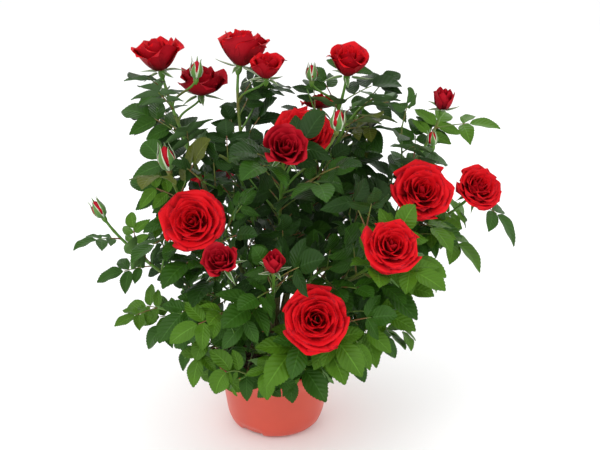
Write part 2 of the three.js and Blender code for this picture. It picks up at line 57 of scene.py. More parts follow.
# The sizes that the part's source gives, in millimetres, and the rule by which it places the leaves
POT = dict(
    height=78, lip=65, wall=2, floor=2.5, flat=37, corner=14, waist=51, neck=57, neck_height=57,
    flare_height=9, inside=6,
)
COMPOST_LEVEL = 69
CROWN = dict(flare=14, radius=9, tip=7, height=36, lean=1)
CANE = dict(
    foot=2.1, tip=1.3, stalk=1.0, taper=0.35,  # radii, and how much of the foot's is lost on the way up
    rise=0.38, run=0.2, stalk_rise=0.4, stalk_run=0.3, lift=0.1,
)
# A leaf of full size. pairs: where its side leaflets sit on the stalk, and how big they are; chord and droop:
# how far its tip reaches and hangs; tilt: from the stem, in degrees; first and shrink: how big the lowest is,
# and how leaves get smaller upwards; tested: where its stalk has to have room; retry: what changes with each
# try.
LEAF = dict(
    stalk=42, length=47, width=29, pairs=((0.82, 0.78), (0.42, 0.62)), spread=math.radians(64),
    chord=0.95, droop=0.22, sag=0.004, tilt=(48, 72), turn=math.radians(144), outward=0.45, facing=0.8,
    low=0.06, top=0.9, stray=0.5, first=1.12, shrink=0.35, vary=(0.9, 1.1), young=0.8,
    tested=(0.25, 0.38, 0.5), tries=9, retry_turn=math.radians(63), retry_shrink=0.03,
)
MIDDLE = np.array([0.0, 0.0, 150.0])  # leaves turn away from this point inside the bush,
LIGHT = np.array([0.0, -0.5, 0.6])  # and to the light, which falls on its front
UP = np.array([0.0, 0.0, 1.0])
SLANT = (0.3, 0.2, 1)  # leaves are turned round their stem from the side square to this
STEEP, PARALLEL = 0.95, 0.05  # of a direction near upright, and of a cross product that is next to nothing
ROOM = dict(
    share=0.9, limb=4.2, own_stem=2.4, leaf=2.2, crown=2, pot=3,  # least distances
    above=5, below=1, petals=1.08, beside=2,  # round a flower
)
STEPS = dict(stem=14, stalk=8, bough=8, twig=6)  # the straight pieces that distances are taken to
UNDERSIDE = dict(height=60, reach=84, rise=0.6)  # the lowest leaves, which rise further out
FLOWER = dict(neck=0.45, level=(0.2, 0.1, 1))  # where its stalk ends, and what its first axis is square to
# How far a flower reaches below and above its middle, in shares of its radius
DEPTH = dict(full=0.62, half=0.85, cup=1.05, bud=1.4)
RISE = dict(full=0.3, half=0.46, cup=0.58, bud=1.4)


def unit(vector):
    """The vector at length 1."""
    vector = np.asarray(vector, float)
    return vector / math.sqrt(vector @ vector)


def shoot(name, foot, lean, leaves, bare, flowers=(), tip=None, low=LEAF["low"], top=LEAF["top"], size=1.0,
          droop=LEAF["droop"]):
    """One shoot of the bush. foot: where its cane leaves the crown, as a bearing in degrees and a share of
    the crown's height; lean: its first angle from upright; bare: the share of the cane below the leaves."""
    blooms = [
        dict(form=form, at=np.array(at, float), faces=unit(faces), width=width, start=start)
        for form, at, faces, width, start in flowers
    ]
    return dict(
        name=name, foot=foot, lean=lean, leaves=leaves, bare=bare, flowers=blooms, tip=tip,
        low=low, top=top, size=size, droop=droop,
    )


def low_shoot(name, foot, lean, tip):
    """A leafy shoot low down, which reaches out to the side."""
    return shoot(name, foot, lean, 4, 0.3, tip=tip, low=0.35, top=0.96, size=0.85, droop=0.12)


def skirt(name, bearing, leaves, tip):
    """A leafy shoot low down, which hangs its leaves over the lip of the pot."""
    return shoot(name, (bearing, 0.2), 62, leaves, 0, tip=tip, low=0.36, top=0.98, size=0.85, droop=0.62)


# A flower is its form, middle, facing, width across the petals, and where its side stalk leaves the stem
SHOOTS = [
    shoot("front_low", (-73, 0.45), 42, 5, 0.3, [("full", (41, -135, 182), (0.05, -0.85, 0.5), 64, 0)]),
    shoot("front_middle", (-97, 0.7), 26, 4, 0.3, [("cup", (3, -122, 232), (0, -0.3, 0.95), 25, 0)]),
    shoot("front_left", (-129, 0.45), 38, 5, 0.3, [
        ("full", (-71, -88, 257), (-0.1, -0.85, 0.5), 58, 0),
        ("half", (-43, -128, 236), (-0.15, -0.6, 0.78), 32, 0.62)]),
    shoot("left_far", (-172, 0.45), 50, 5, 0.3, [
        ("bud", (-167, -30, 247), (-0.45, 0, 0.9), 14, 0)], size=0.75, top=0.78),
    shoot("left_upper", (-150, 0.7), 26, 5, 0.35, [("bud", (-96, -52, 304), (-0.15, -0.1, 1), 18, 0)]),
    shoot("top_left", (170, 0.7), 20, 5, 0.35, [
        ("cup", (-108, 0, 394), (-0.15, -0.1, 1), 40, 0),
        ("half", (-70, 34, 362), (0.1, -0.1, 0.99), 48, 0.6),
        ("bud", (-70, -12, 378), (0.1, -0.1, 1), 13, 0.7)]),
    shoot("top_centre", (140, 1), 6, 4, 0.35, [
        ("cup", (-28, 22, 397), (0.2, 0.1, 0.97), 44, 0),
        ("cup", (-5, -12, 384), (0.05, -0.2, 0.97), 30, 0.68)], top=0.7),
    shoot("centre", (-80, 1), 12, 3, 0.35, [
        ("half", (14, -86, 325), (0.1, -0.75, 0.65), 40, 0),
        ("full", (30, -14, 323), (0.05, -0.6, 0.78), 58, 0.5),
        ("bud", (60, -58, 341), (0.1, -0.1, 1), 15, 0.42)]),
    shoot("top_right", (38, 1), 12, 4, 0.35, [
        ("cup", (73, 10, 385), (0.1, -0.3, 0.95), 37, 0),
        ("full", (46, 56, 336), (0, 0.25, 0.97), 42, 0.55),
        ("bud", (37, 4, 372), (0, -0.1, 1), 12, 0.68)]),
    shoot("right_upper", (-5, 0.7), 28, 5, 0.35, [
        ("cup", (165, 10, 348), (0.1, -0.2, 0.97), 27, 0),
        ("bud", (152, -12, 312), (-0.1, -0.1, 1), 11, 0.78)]),
    shoot("right", (-22, 0.45), 38, 5, 0.35, [("full", (139, -64, 278), (0.1, -0.75, 0.65), 60, 0)]),
    shoot("right_far", (14, 0.45), 48, 5, 0.3, [
        ("full", (200, -22, 269), (0.3, -0.6, 0.72), 51, 0)], droop=0.55),
    shoot("right_front", (-50, 0.7), 30, 5, 0.3, [("full", (107, -116, 245), (0.05, -0.7, 0.7), 53, 0)]),
    shoot("back_left", (130, 0.45), 36, 4, 0.3, [
        ("full", (-72, 102, 238), (-0.4, 0.7, 0.6), 56, 0),
        ("bud", (-112, 70, 232), (-0.5, 0.2, 0.85), 15, 0.6)]),
    shoot("back", (92, 0.45), 40, 3, 0.3, [
        ("full", (-2, 128, 190), (0, 0.8, 0.6), 60, 0),
        ("half", (-32, 112, 226), (-0.1, 0.5, 0.85), 30, 0.6)]),
    shoot("back_right", (48, 0.45), 38, 3, 0.3, [("full", (98, 92, 226), (0.4, 0.65, 0.6), 56, 0)]),
    shoot("back_top", (78, 0.85), 16, 4, 0.35, [("half", (16, 88, 292), (0, 0.5, 0.85), 42, 0)]),
    shoot("middle_front", (-36, 0.85), 26, 5, 0.3, tip=(58, -74, 205)),
    shoot("middle_left", (-122, 0.85), 20, 3, 0.3, tip=(-30, -58, 210)),
    shoot("inner_right", (-20, 1), 14, 4, 0.35, tip=(98, -8, 350)),
    shoot("inner_left", (-160, 1), 12, 3, 0.35, tip=(-50, -28, 300)),
    low_shoot("left_low", (162, 0.2), 58, (-118, -30, 144)),
    low_shoot("right_low", (-26, 0.3), 60, (124, -56, 146)),
    skirt("skirt_left", -165, 4, (-84, -38, 130)),
    skirt("skirt_front_left", -122, 4, (-54, -76, 124)),
    skirt("skirt_front", -84, 5, (-4, -94, 120)),
    skirt("skirt_front_right", -46, 4, (58, -74, 122)),
    skirt("skirt_right", -4, 3, (84, -44, 122)),
    skirt("skirt_back_right", 55, 3, (52, 72, 118)),
    skirt("skirt_back_left", 128, 3, (-56, 70, 120)),
]
FLOWERS = [flower for each in SHOOTS for flower in each["flowers"]]
SEEDS = dict(
    leaves=1322, twigs=5003, fine=15009, ends=25015, petals=7001, shapes=9001, compost=301, stubs=411,
    prickles=1233,
)
SEED_STEP = 37  # from one shoot to the next
SERIES = dict(factor=16807, modulus=2147483647)


# Lines and rings

def seeded(seed):
    """The same series of numbers from 0 to 1 for the same seed."""
    state = seed

    def draw():
        nonlocal state
        state = state * SERIES["factor"] % SERIES["modulus"]
        return state / SERIES["modulus"]
    return draw


def lerp(a, b, t):
    """The number a share t of the way from a to b."""
    return a + (b - a) * t


def bezier(points):
    """The curve through the first and last of three or four points, drawn towards those between."""
    points = [np.asarray(p, float) for p in points]
    degree = len(points) - 1

    def at(t):
        weights = [math.comb(degree, i) * t**i * (1 - t) ** (degree - i) for i in range(degree + 1)]
        return sum(w * p for w, p in zip(weights, points))
    return at


def stretch(curve, start, end):
    """The part of a curve between two shares of it."""
    return lambda t: curve(lerp(start, end, t))


def tangent(curve, t, step=1e-4):
    """The direction of a curve."""
    return unit(curve(min(t + step, 1)) - curve(max(t - step, 0)))


def points_of(curve, steps):
    """Evenly spaced points of a curve."""
    return np.array([curve(i / steps) for i in range(steps + 1)])


def across(direction, preferred):
    """Two directions square to a given one, for one direction or many: the second is as near as can be to
    the preferred direction."""
    direction = np.atleast_2d(direction)
    side = np.cross(direction, preferred)
    lengths = np.linalg.norm(side, axis=1)
    weak = lengths < PARALLEL
    if weak.any():
        side[weak] = np.array([1.0, 0, 0]) - direction[weak] * direction[weak, :1]
        lengths = np.linalg.norm(side, axis=1)
    side = side / lengths[:, None]
    other = np.cross(side, direction)
    return side, other / np.linalg.norm(other, axis=1)[:, None]


def square_to(direction, preferred=SLANT):
    """The two directions square to one direction."""
    side, other = across(direction, unit(preferred))
    return side[0], other[0]


def arc(foot, start, rise, tip, aim, run):
    """A curve that leaves its foot and reaches its tip in given directions."""
    span = np.linalg.norm(tip - foot)
    return bezier([foot, foot + start * span * rise, tip - aim * span * run, tip])


def neck_of(flower):
    """Where the stalk enters a flower's calyx."""
    return flower["at"] - flower["faces"] * DEPTH[flower["form"]] * flower["width"] * FLOWER["neck"]


def cane_line(s):
    """The whole length of a cane, from the crown to its tip."""
    angle, tilt = math.radians(s["foot"][0]), math.radians(s["lean"])
    share = s["foot"][1]
    outward = np.array([math.cos(angle), math.sin(angle), 0])
    foot = outward * (lerp(CROWN["radius"], CROWN["tip"], share) - CANE["foot"])
    foot[2] = COMPOST_LEVEL + CROWN["height"] * share
    start = outward * math.sin(tilt) + UP * math.cos(tilt)
    end = neck_of(s["flowers"][0]) if s["flowers"] else np.array(s["tip"], float)
    aim = s["flowers"][0]["faces"] if s["flowers"] else unit([start[0], start[1], CANE["lift"]])
    return arc(foot, start, CANE["rise"], end, aim, CANE["run"])


def side_line(stem, flower):
    """The side stalk of a flower."""
    start = flower["start"]
    return arc(stem(start), tangent(stem, start), CANE["stalk_rise"], neck_of(flower), flower["faces"],
               CANE["stalk_run"])


# The room that leaves have

def pieces_of(lines):
    """The starts and steps of all straight pieces of several lines."""
    starts = np.concatenate([line[:-1] for line in lines])
    return starts, np.concatenate([line[1:] for line in lines]) - starts


def distances(points, pieces):
    """From each point to each straight piece."""
    starts, steps = pieces
    offset = points[:, None] - starts
    t = np.clip((offset * steps).sum(2) / (steps**2).sum(1), 0, 1)
    return np.linalg.norm(offset - t[..., None] * steps, axis=2)


class Bush:
    """The lines of all the canes, and the leaves that have found a place along them."""

    def __init__(self):
        self.canes = [cane_line(s) for s in SHOOTS]
        self.stems = [stretch(cane, s["bare"], 1) for cane, s in zip(self.canes, SHOOTS)]
        self.sides = [[side_line(stem, f) for f in s["flowers"][1:]] for stem, s in zip(self.stems, SHOOTS)]
        self.groups = [
            [points_of(stem, STEPS["stem"])] + [points_of(side, STEPS["stalk"]) for side in sides]
            for stem, sides in zip(self.stems, self.sides)
        ]
        self.boughs = pieces_of([
            points_of(stretch(cane, 0, s["bare"]), STEPS["bough"])
            for cane, s in zip(self.canes, SHOOTS) if s["bare"]
        ])
        self.crown = pieces_of([np.array([UP * COMPOST_LEVEL, UP * (COMPOST_LEVEL + CROWN["height"])])])
        self.middles, self.faces, self.lengths = np.zeros((0, 3)), np.zeros((0, 3)), np.zeros(0)
        self.twigs = []
        self.measure()

    def measure(self):
        """Gathers the straight pieces of every stem, with their owners."""
        self.pieces = pieces_of([line for group in self.groups for line in group])
        self.owner = np.concatenate([
            np.full(len(line) - 1, i) for i, group in enumerate(self.groups) for line in group
        ])

    def may_hold(self, points, owner, ease=1.0):
        """Whether a shoot's leaves may pass through each point. ease makes the least distances smaller."""
        out = np.hypot(points[:, 0], points[:, 1])
        low = UNDERSIDE["height"] + UNDERSIDE["rise"] * np.maximum(0, out - UNDERSIDE["reach"])
        free = points[:, 2] >= low
        free &= (points[:, 2] >= POT["height"] + ROOM["pot"]) | (out >= POT["lip"] + ROOM["pot"])
        for flower in FLOWERS:
            half = flower["width"] / 2
            offset = points - flower["at"]
            up = offset @ flower["faces"]
            wide = np.sqrt(np.maximum(0, (offset**2).sum(1) - up**2))
            rise, depth = half * RISE[flower["form"]], half * DEPTH[flower["form"]]
            tall = np.where(up > 0, rise + ROOM["above"], depth + ROOM["below"])
            free &= (up / tall) ** 2 + (wide / (half * ROOM["petals"] + ROOM["beside"])) ** 2 >= 1
        free &= distances(points, self.crown).min(1) >= CROWN["radius"] + ROOM["crown"]
        free &= distances(points, self.boughs).min(1) >= ROOM["limb"] * ease
        gaps = distances(points, self.pieces)
        mine = self.owner == owner
        own = gaps[:, mine].min(1)
        free &= own > ROOM["own_stem"] * ease
        free &= gaps[:, ~mine].min(1) > np.maximum(own * ROOM["share"] * ease, ROOM["limb"] * ease)
        return free

    def crowds(self, middle, points, ease=1.0):
        """Whether a leaflet would pass through one that has its place."""
        near = np.linalg.norm(self.middles - middle, axis=1) < self.lengths
        offset = points[:, None] - self.middles[near]
        flat = np.abs((offset * self.faces[near]).sum(2)) < ROOM["leaf"] * ease
        return bool((flat & (np.linalg.norm(offset, axis=2) < self.lengths[near] / 2)).any())

    def settle(self, leaf, leaflet):
        """Gives a leaflet its place."""
        points = tested_points(leaf, leaflet)
        face = unit(np.cross(points[RIGHT] - points[LEFT], points[TIP] - points[FOOT]))
        self.middles = np.vstack([self.middles, points[MIDST]])
        self.faces = np.vstack([self.faces, face])
        self.lengths = np.append(self.lengths, leaflet["length"])


# Where a leaflet is tested: out from its midrib, in shares of half the width, and along it
TESTED = np.array([
    (0, 0.12), (0, 0.5), (0, 1), (0.95, 0.45), (-0.95, 0.45),
    (0, 0.3), (0.6, 0.25), (-0.6, 0.25), (0.5, 0.45), (-0.5, 0.45), (0.45, 0.7), (-0.45, 0.7), (0, 0.78),
])
FOOT, MIDST, TIP, RIGHT, LEFT = range(5)


def leaf_at(origin, direction, size, count, droop):
    """One compound leaf, flat at first: x across its stalk, y along it. It is laid along its midrib's arc."""
    reach = (LEAF["stalk"] + LEAF["length"]) * size
    out = math.sqrt(LEAF["chord"] ** 2 - droop**2)
    tip = origin + direction * reach * out - UP * reach * droop
    midrib = bezier([origin, origin + direction * reach * 0.5, tip])
    lit = unit(LIGHT + unit(origin - MIDDLE) * LEAF["facing"])

    def leaflet(at, turn, share):
        return dict(y=LEAF["stalk"] * size * at, turn=turn, length=LEAF["length"] * size * share,
                    width=LEAF["width"] * size * share)
    leaflets = [leaflet(1, 0, 1)]
    for at, share in LEAF["pairs"][: (count - 1) // 2]:
        leaflets += [leaflet(at, LEAF["spread"], share), leaflet(at, -LEAF["spread"], share)]
    return dict(midrib=midrib, reach=reach, lit=lit, stalk=LEAF["stalk"] * size, leaflets=leaflets)


def on_leaf(leaf, x, y, z):
    """Points of the flat leaf, where its arc carries them."""
    t = (y / leaf["reach"])[:, None]
    ahead, behind = np.minimum(t + 1e-4, 1), np.maximum(t - 1e-4, 0)
    course = leaf["midrib"](ahead) - leaf["midrib"](behind)
    course /= np.linalg.norm(course, axis=1)[:, None]
    side, face = across(course, leaf["lit"])
    return leaf["midrib"](t) + side * x[:, None] + face * (z - LEAF["sag"] * x**2)[:, None]


def on_flat_leaf(leaflet, out, ahead):
    """The place in the flat leaf of points given out from the leaflet's midrib and along it, as shares."""
    right, forward = out * leaflet["width"] / 2, ahead * leaflet["length"]
    cos, sin = math.cos(leaflet["turn"]), math.sin(leaflet["turn"])
    return right * cos + forward * sin, leaflet["y"] - right * sin + forward * cos


def tested_points(leaf, leaflet):
    """The points at which a leaflet is tested, where the leaf's arc carries them."""
    x, y = on_flat_leaf(leaflet, TESTED[:, 0], TESTED[:, 1])
    return on_leaf(leaf, x, y, np.zeros(len(x)))


def in_body(point):
    """Whether the bush is dense at a point."""
    if (np.abs((point - BODY["middle"]) / BODY["reach"]) ** BODY["power"]).sum() > 1:
        return False
    depth = point[1] * (BODY["front"] if point[1] < 0 else 1)
    if math.hypot(point[0], depth) > BODY["foot"] + BODY["flare"] * (point[2] - POT["height"]):
        return False
    return all((((point - middle) / reach) ** 2).sum() > 1 for middle, reach in SKY)


def fitting(bush, leaf, owner, ease=1.0, inner=False):
    """The leaflets of a leaf that find room. An inner one also stays within the body of the bush."""
    stalk = np.array([leaf["midrib"](share) for share in LEAF["tested"]])
    if inner and not in_body(stalk[-1]):
        return []
    if not bush.may_hold(stalk, owner, ease).all():
        return []
    points = [tested_points(leaf, leaflet) for leaflet in leaf["leaflets"]]
    free = bush.may_hold(np.concatenate(points), owner, ease).reshape(len(points), -1).all(1)
    return [
        leaflet for leaflet, spots, fits in zip(leaf["leaflets"], points, free)
        if fits and not bush.crowds(spots[MIDST], spots, ease)
    ]


def best_leaf(bush, owner, curve, t, size, tilt, bearing, count, droop, **rules):
    """The leaf that keeps the most leaflets as it turns round its stem, a little smaller each time."""
    origin, course = curve(t), tangent(curve, t)
    outward = unit(origin - MIDDLE)
    side, other = square_to(course)
    best, most = None, count / 2
    for k in range(LEAF["tries"]):
        if most >= count:
            break
        angle = bearing + k * LEAF["retry_turn"]
        sideways = side * math.cos(angle) + other * math.sin(angle)
        direction = unit(course * math.cos(tilt) + sideways * math.sin(tilt) + outward * LEAF["outward"])
        leaf = leaf_at(origin, direction, size * (1 - LEAF["retry_shrink"] * k), count, droop)
        leaflets = fitting(bush, leaf, owner, **rules)
        if len(leaflets) > most:
            best, most = dict(leaf=leaf, leaflets=leaflets, owner=owner), len(leaflets)
    if best:
        for leaflet in best["leaflets"]:
            bush.settle(best["leaf"], leaflet)
    return best


def leaves_of(bush, index):
    """The leaves of one shoot as in the part's source, from the foot of its stem upwards."""
    s = SHOOTS[index]
    draw = seeded(SEEDS["leaves"] + index * SEED_STEP)
    kept = []
    bearing = draw() * math.pi * 2
    for i in range(s["leaves"]):
        t = lerp(s["low"], s["top"], (i + draw() * LEAF["stray"]) / (s["leaves"] - LEAF["stray"]))
        size = (LEAF["first"] - LEAF["shrink"] * t) * s["size"] * lerp(*LEAF["vary"], draw())
        tilt = math.radians(lerp(*LEAF["tilt"], draw()))
        count = 3 if t > LEAF["young"] and s["flowers"] else 5
        best = best_leaf(bush, index, bush.stems[index], t, size, tilt, bearing, count, s["droop"])
        kept += [best] if best else []
        bearing += LEAF["turn"]
    return kept


# Finer growth, which only the scene has. low and top: where its leaves begin on a stem, against the first
# ones, and where they end; five: how many have five leaflets; ease: makes the least distances smaller. Twigs
# have their length and radii in mm and their lean in degrees; clear: how many of a twig's points may lie near
# the cane that it leaves.
FINE = dict(
    leaves=9, size=0.96, low=0.6, top=0.8, vary=(0.85, 1.15), five=0.7, ease=0.56,
    end=0.99, end_size=(0.6, 0.78), end_tilt=(6, 24),
)
TWIG = dict(
    number=5, length=(34, 58), lean=(38, 62), low=0.16, bare=0.6, top=0.72, bend=0.5, lift=0.2, clear=2,
    tries=6, retry_turn=1.05, ease=0.8, leaves=2, size=0.84, first=0.4, foot=1.2, tip=0.64, sides=7, steps=8,
)
# Where the bush is dense: a rounded box, whose foot is a cone that widens from the pot, open again within
# the gaps that show sky. Middles and half sizes. front draws the cone's near side in.
BODY = dict(
    middle=np.array([8.0, 0, 222]), reach=np.array([158.0, 132, 146]), power=4,
    foot=52, flare=0.85, front=0.6,
)
SKY = [(np.array(middle, float), np.array(reach, float)) for middle, reach in (
    ((-114, -20, 172), (64, 90, 40)),
    ((-146, 0, 288), (42, 90, 46)),
    ((-52, 0, 342), (34, 90, 22)),
    ((172, 0, 290), (30, 60, 22)),
    ((152, 0, 334), (20, 80, 22)),
    ((174, -20, 156), (42, 80, 42)),
    ((134, -30, 92), (50, 90, 36)),
    ((-132, -30, 236), (26, 90, 26)),
)]


def twigs_of(bush, index):
    """Short leafy twigs from the lower half of a cane, where there is room for them."""
    s = SHOOTS[index]
    draw, cane = seeded(SEEDS["twigs"] + index * SEED_STEP), bush.canes[index]
    kept = []
    for i in range(TWIG["number"]):
        t = lerp(max(s["bare"] * TWIG["bare"], TWIG["low"]), TWIG["top"], (i + draw()) / TWIG["number"])
        turn, length = draw() * math.tau, lerp(*TWIG["length"], draw())
        lean = math.radians(lerp(*TWIG["lean"], draw()))
        course = tangent(cane, t)
        side, other = square_to(course)
        for k in range(TWIG["tries"]):
            angle = turn + k * TWIG["retry_turn"]
            sideways = side * math.cos(angle) + other * math.sin(angle)
            aim = unit(course * math.cos(lean) + sideways * math.sin(lean))
            tip = cane(t) + aim * length + UP * length * TWIG["lift"]
            line = bezier([cane(t), cane(t) + aim * length * TWIG["bend"], tip])
            spots = points_of(line, STEPS["twig"])
            if in_body(tip) and bush.may_hold(spots[TWIG["clear"]:], index, TWIG["ease"]).all():
                kept.append(line)
                bush.groups[index].append(spots)
                bush.measure()
                break
    return kept


def fine_leaves(bush, index):
    """Smaller leaves between the first ones, on the stem and on its twigs."""
    s = SHOOTS[index]
    draw = seeded(SEEDS["fine"] + index * SEED_STEP)
    kept = []
    places = [(bush.stems[index], s["low"] * FINE["low"], FINE["top"], FINE["leaves"], FINE["size"])]
    places += [(twig, TWIG["first"], 1, TWIG["leaves"], TWIG["size"]) for twig in bush.twigs[index]]
    for curve, low, top, number, share in places:
        bearing = draw() * math.tau
        for i in range(number):
            t = lerp(low, top, (i + draw()) / number)
            size = share * lerp(*FINE["vary"], draw())
            tilt = math.radians(lerp(*LEAF["tilt"], draw()))
            count = 5 if draw() < FINE["five"] else 3
            bearing += LEAF["turn"]
            best = best_leaf(bush, index, curve, t, size, tilt, bearing, count, s["droop"],
                             ease=FINE["ease"], inner=True)
            kept += [best] if best else []
    return kept


def end_leaves(bush, index):
    """The youngest leaf at the end of each low shoot, which has no flower, and of each twig."""
    s = SHOOTS[index]
    draw = seeded(SEEDS["ends"] + index * SEED_STEP)
    ends = [(twig, True) for twig in bush.twigs[index]]
    if not s["bare"]:
        ends.append((bush.stems[index], False))
    kept = []
    for curve, inner in ends:
        size, tilt = lerp(*FINE["end_size"], draw()), math.radians(lerp(*FINE["end_tilt"], draw()))
        best = best_leaf(bush, index, curve, FINE["end"], size, tilt, draw() * math.tau, 3, s["droop"],
                         ease=FINE["ease"], inner=inner)
        kept += [best] if best else []
    return kept


# Meshes

class Sheets:
    """Gathers grids of points into one mesh with a UV map, sharp or smooth."""

    def __init__(self):
        self.points, self.faces, self.uvs, self.slots, self.sides, self.count = [], [], [], [], [], 0

    def add(self, points, groups, uvs, slot=0, side=0):
        """Adds groups of faces, each given as rows of corners, with one UV for each point. Where two sides
        meet, the edge is sharp."""
        self.points.append(np.asarray(points, float))
        for faces in groups:
            faces = np.asarray(faces)
            self.faces.append(faces + self.count)
            self.uvs.append(np.asarray(uvs, float)[faces])
            self.slots.append(np.broadcast_to(slot, len(faces)))
            self.sides.append(np.broadcast_to(side, len(faces)))
        self.count += len(points)

    def build(self, name, materials, slot, replaced=()):
        """The piece: a mesh in metres that rides on the plant's one body."""
        points = np.concatenate(self.points) * MM
        polygons = [p for faces in self.faces for p in faces.tolist()]
        mesh = bpy.data.meshes.new(name)
        mesh.from_pydata(points.tolist(), [], polygons)
        mesh.uv_layers.new(name="Blade")
        mesh.uv_layers["Blade"].data.foreach_set(
            "uv", np.concatenate([uv.reshape(-1, 2) for uv in self.uvs]).ravel().astype(np.float32))
        mesh.polygons.foreach_set("material_index", np.concatenate(self.slots).astype(np.int32))
        mesh.polygons.foreach_set("use_smooth", np.ones(len(mesh.polygons), bool))
        mesh.update()
        self.sharpen(mesh)
        for material in materials:
            mesh.materials.append(material)
        piece = bpy.data.objects.new(name, mesh)
        bpy.context.scene.collection.objects.link(piece)
        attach(piece, "root")
        if replaced:
            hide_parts(*replaced)
        return piece

    def sharpen(self, mesh):
        """Marks the edges where two sides meet as sharp."""
        corners = np.empty(len(mesh.loops), np.int32)
        mesh.loops.foreach_get("edge_index", corners)
        counts = np.empty(len(mesh.polygons), np.int32)
        mesh.polygons.foreach_get("loop_total", counts)
        side = np.repeat(np.concatenate(self.sides), counts)
        low, high = np.full(len(mesh.edges), side.max()), np.full(len(mesh.edges), side.min())
        np.minimum.at(low, corners, side)
        np.maximum.at(high, corners, side)
        mesh.edges.foreach_set("use_edge_sharp", low < high)


def grid_faces(rows, columns, closed=False):
    """Squares between rows of points. closed joins the last column to the first."""
    turns = columns if closed else columns - 1
    r, c = np.meshgrid(np.arange(rows - 1), np.arange(turns), indexing="ij")
    r, c, d = r.ravel(), c.ravel(), (c.ravel() + 1) % columns
    return np.stack([r * columns + c, r * columns + d, (r + 1) * columns + d, (r + 1) * columns + c], 1)


def grid_uvs(columns, rows):
    """One UV for each point of a grid, whose columns lie at the places given."""
    return np.stack(np.meshgrid(columns, np.linspace(0, 1, rows)), 2).reshape(-1, 2)


def blade_faces(rows, columns):
    """A closed thin blade: an upper and a lower grid that share their rim. Returns the faces, how many of
    them are on the upper side, and which points of the second grid have a place of their own."""
    upper = grid_faces(rows, columns)
    rim = np.zeros((rows, columns), bool)
    rim[0] = rim[-1] = rim[:, 0] = rim[:, -1] = True
    inner = np.flatnonzero(~rim.ravel())
    index = np.arange(rows * columns)
    index[inner] = rows * columns + np.arange(len(inner))
    lower = index[grid_faces(rows, columns)[:, ::-1]]
    return np.concatenate([upper, lower]), len(upper), inner


def blade_grid(rows, columns):
    """How far out and how far along the points of a blade lie: from -1 to 1, and from 0 to 1."""
    return np.linspace(-1, 1, columns)[None, :], np.linspace(0, 1, rows)[:, None]


def turned_axes(axes, angle):
    """Three axes, turned about the third."""
    cos, sin = math.cos(angle), math.sin(angle)
    return np.array([[cos, sin, 0], [-sin, cos, 0], [0, 0, 1]]) @ axes


def add_blade(sheets, top, below, uvs, shape, slots=(0, 1)):
    """Adds a closed thin blade, whose inner points lie at top above and at below underneath."""
    faces, upper, inner = shape
    points = np.concatenate([top, below[inner]])
    side = np.ones(len(faces), int)
    side[:upper] = 0
    sheets.add(points, [faces], np.concatenate([uvs, uvs[inner]]), np.array(slots)[side], side)


CAP = 0.3  # how far the rounded end of a tube stands out, in radii


def add_tube(sheets, line, radii, sides, roughen=None):
    """Adds a closed tapered tube along a line of points."""
    course = np.gradient(line, axis=0)
    course /= np.linalg.norm(course, axis=1)[:, None]
    chord = unit(line[-1] - line[0])
    level = across(chord, np.array([0.0, 1, 0]) if abs(chord[2]) > STEEP else UP)[0][0]
    side = level - course * (course @ level)[:, None]
    side /= np.linalg.norm(side, axis=1)[:, None]
    other = np.cross(course, side)
    angles = np.arange(sides) * math.tau / sides
    radii = np.broadcast_to(radii, len(line))
    rim = side[:, None] * np.cos(angles)[:, None] + other[:, None] * np.sin(angles)[:, None]
    scale = radii[:, None, None] * (1 if roughen is None else roughen(line, angles)[..., None])
    points = (line[:, None] + rim * scale).reshape(-1, 3)
    rows = len(line)
    uvs = grid_uvs(angles / math.tau, rows)
    foot, tip = rows * sides, rows * sides + 1
    ends = [line[0] - course[0] * radii[0] * CAP, line[-1] + course[-1] * radii[-1] * CAP]
    caps = [((i + 1) % sides, i, foot) for i in range(sides)]
    last = (rows - 1) * sides
    caps += [(last + i, last + (i + 1) % sides, tip) for i in range(sides)]
    sheets.add(np.concatenate([points, ends]), [grid_faces(rows, sides, True), caps],
               np.concatenate([uvs, [(0.5, 0), (0.5, 1)]]))


# The leaves

ROWS, COLUMNS = 25, 5
LEAFLET_SHAPE = blade_faces(ROWS, COLUMNS)
# The outline, in shares: how fast it swells and tapers, its width at foot and tip, how far the veins slant
# forward at the rim, and the depth of its saw teeth
OUTLINE = dict(swell=0.6, taper=0.88, foot=0.06, tip=0.02, slant=0.05, teeth_out=0.03, teeth_ahead=0.013)
# What differs from leaflet to leaflet, in the order in which it is drawn: the rise of the folded halves, the
# tip's bend, the rim's wave in mm and its start, the turn in radians, and the size against the room it has
VARIED = dict(
    fold=(0.1, 0.34), curl=(0.02, 0.2), wave=(0.3, 1.1), phase=(0, 6.3), lean=(-0.16, 0.16),
    length=(0.92, 1.06), width=(0.8, 0.98),
)
BLADE = dict(foot=0.03, waves=11, lag=0.8, rib=0.35, rib_width=0.12, thick=0.45)
STALK = dict(steps=8, sides=5, shares=(0, 0.12, 1), radii=(1.15, 0.75, 0.5))


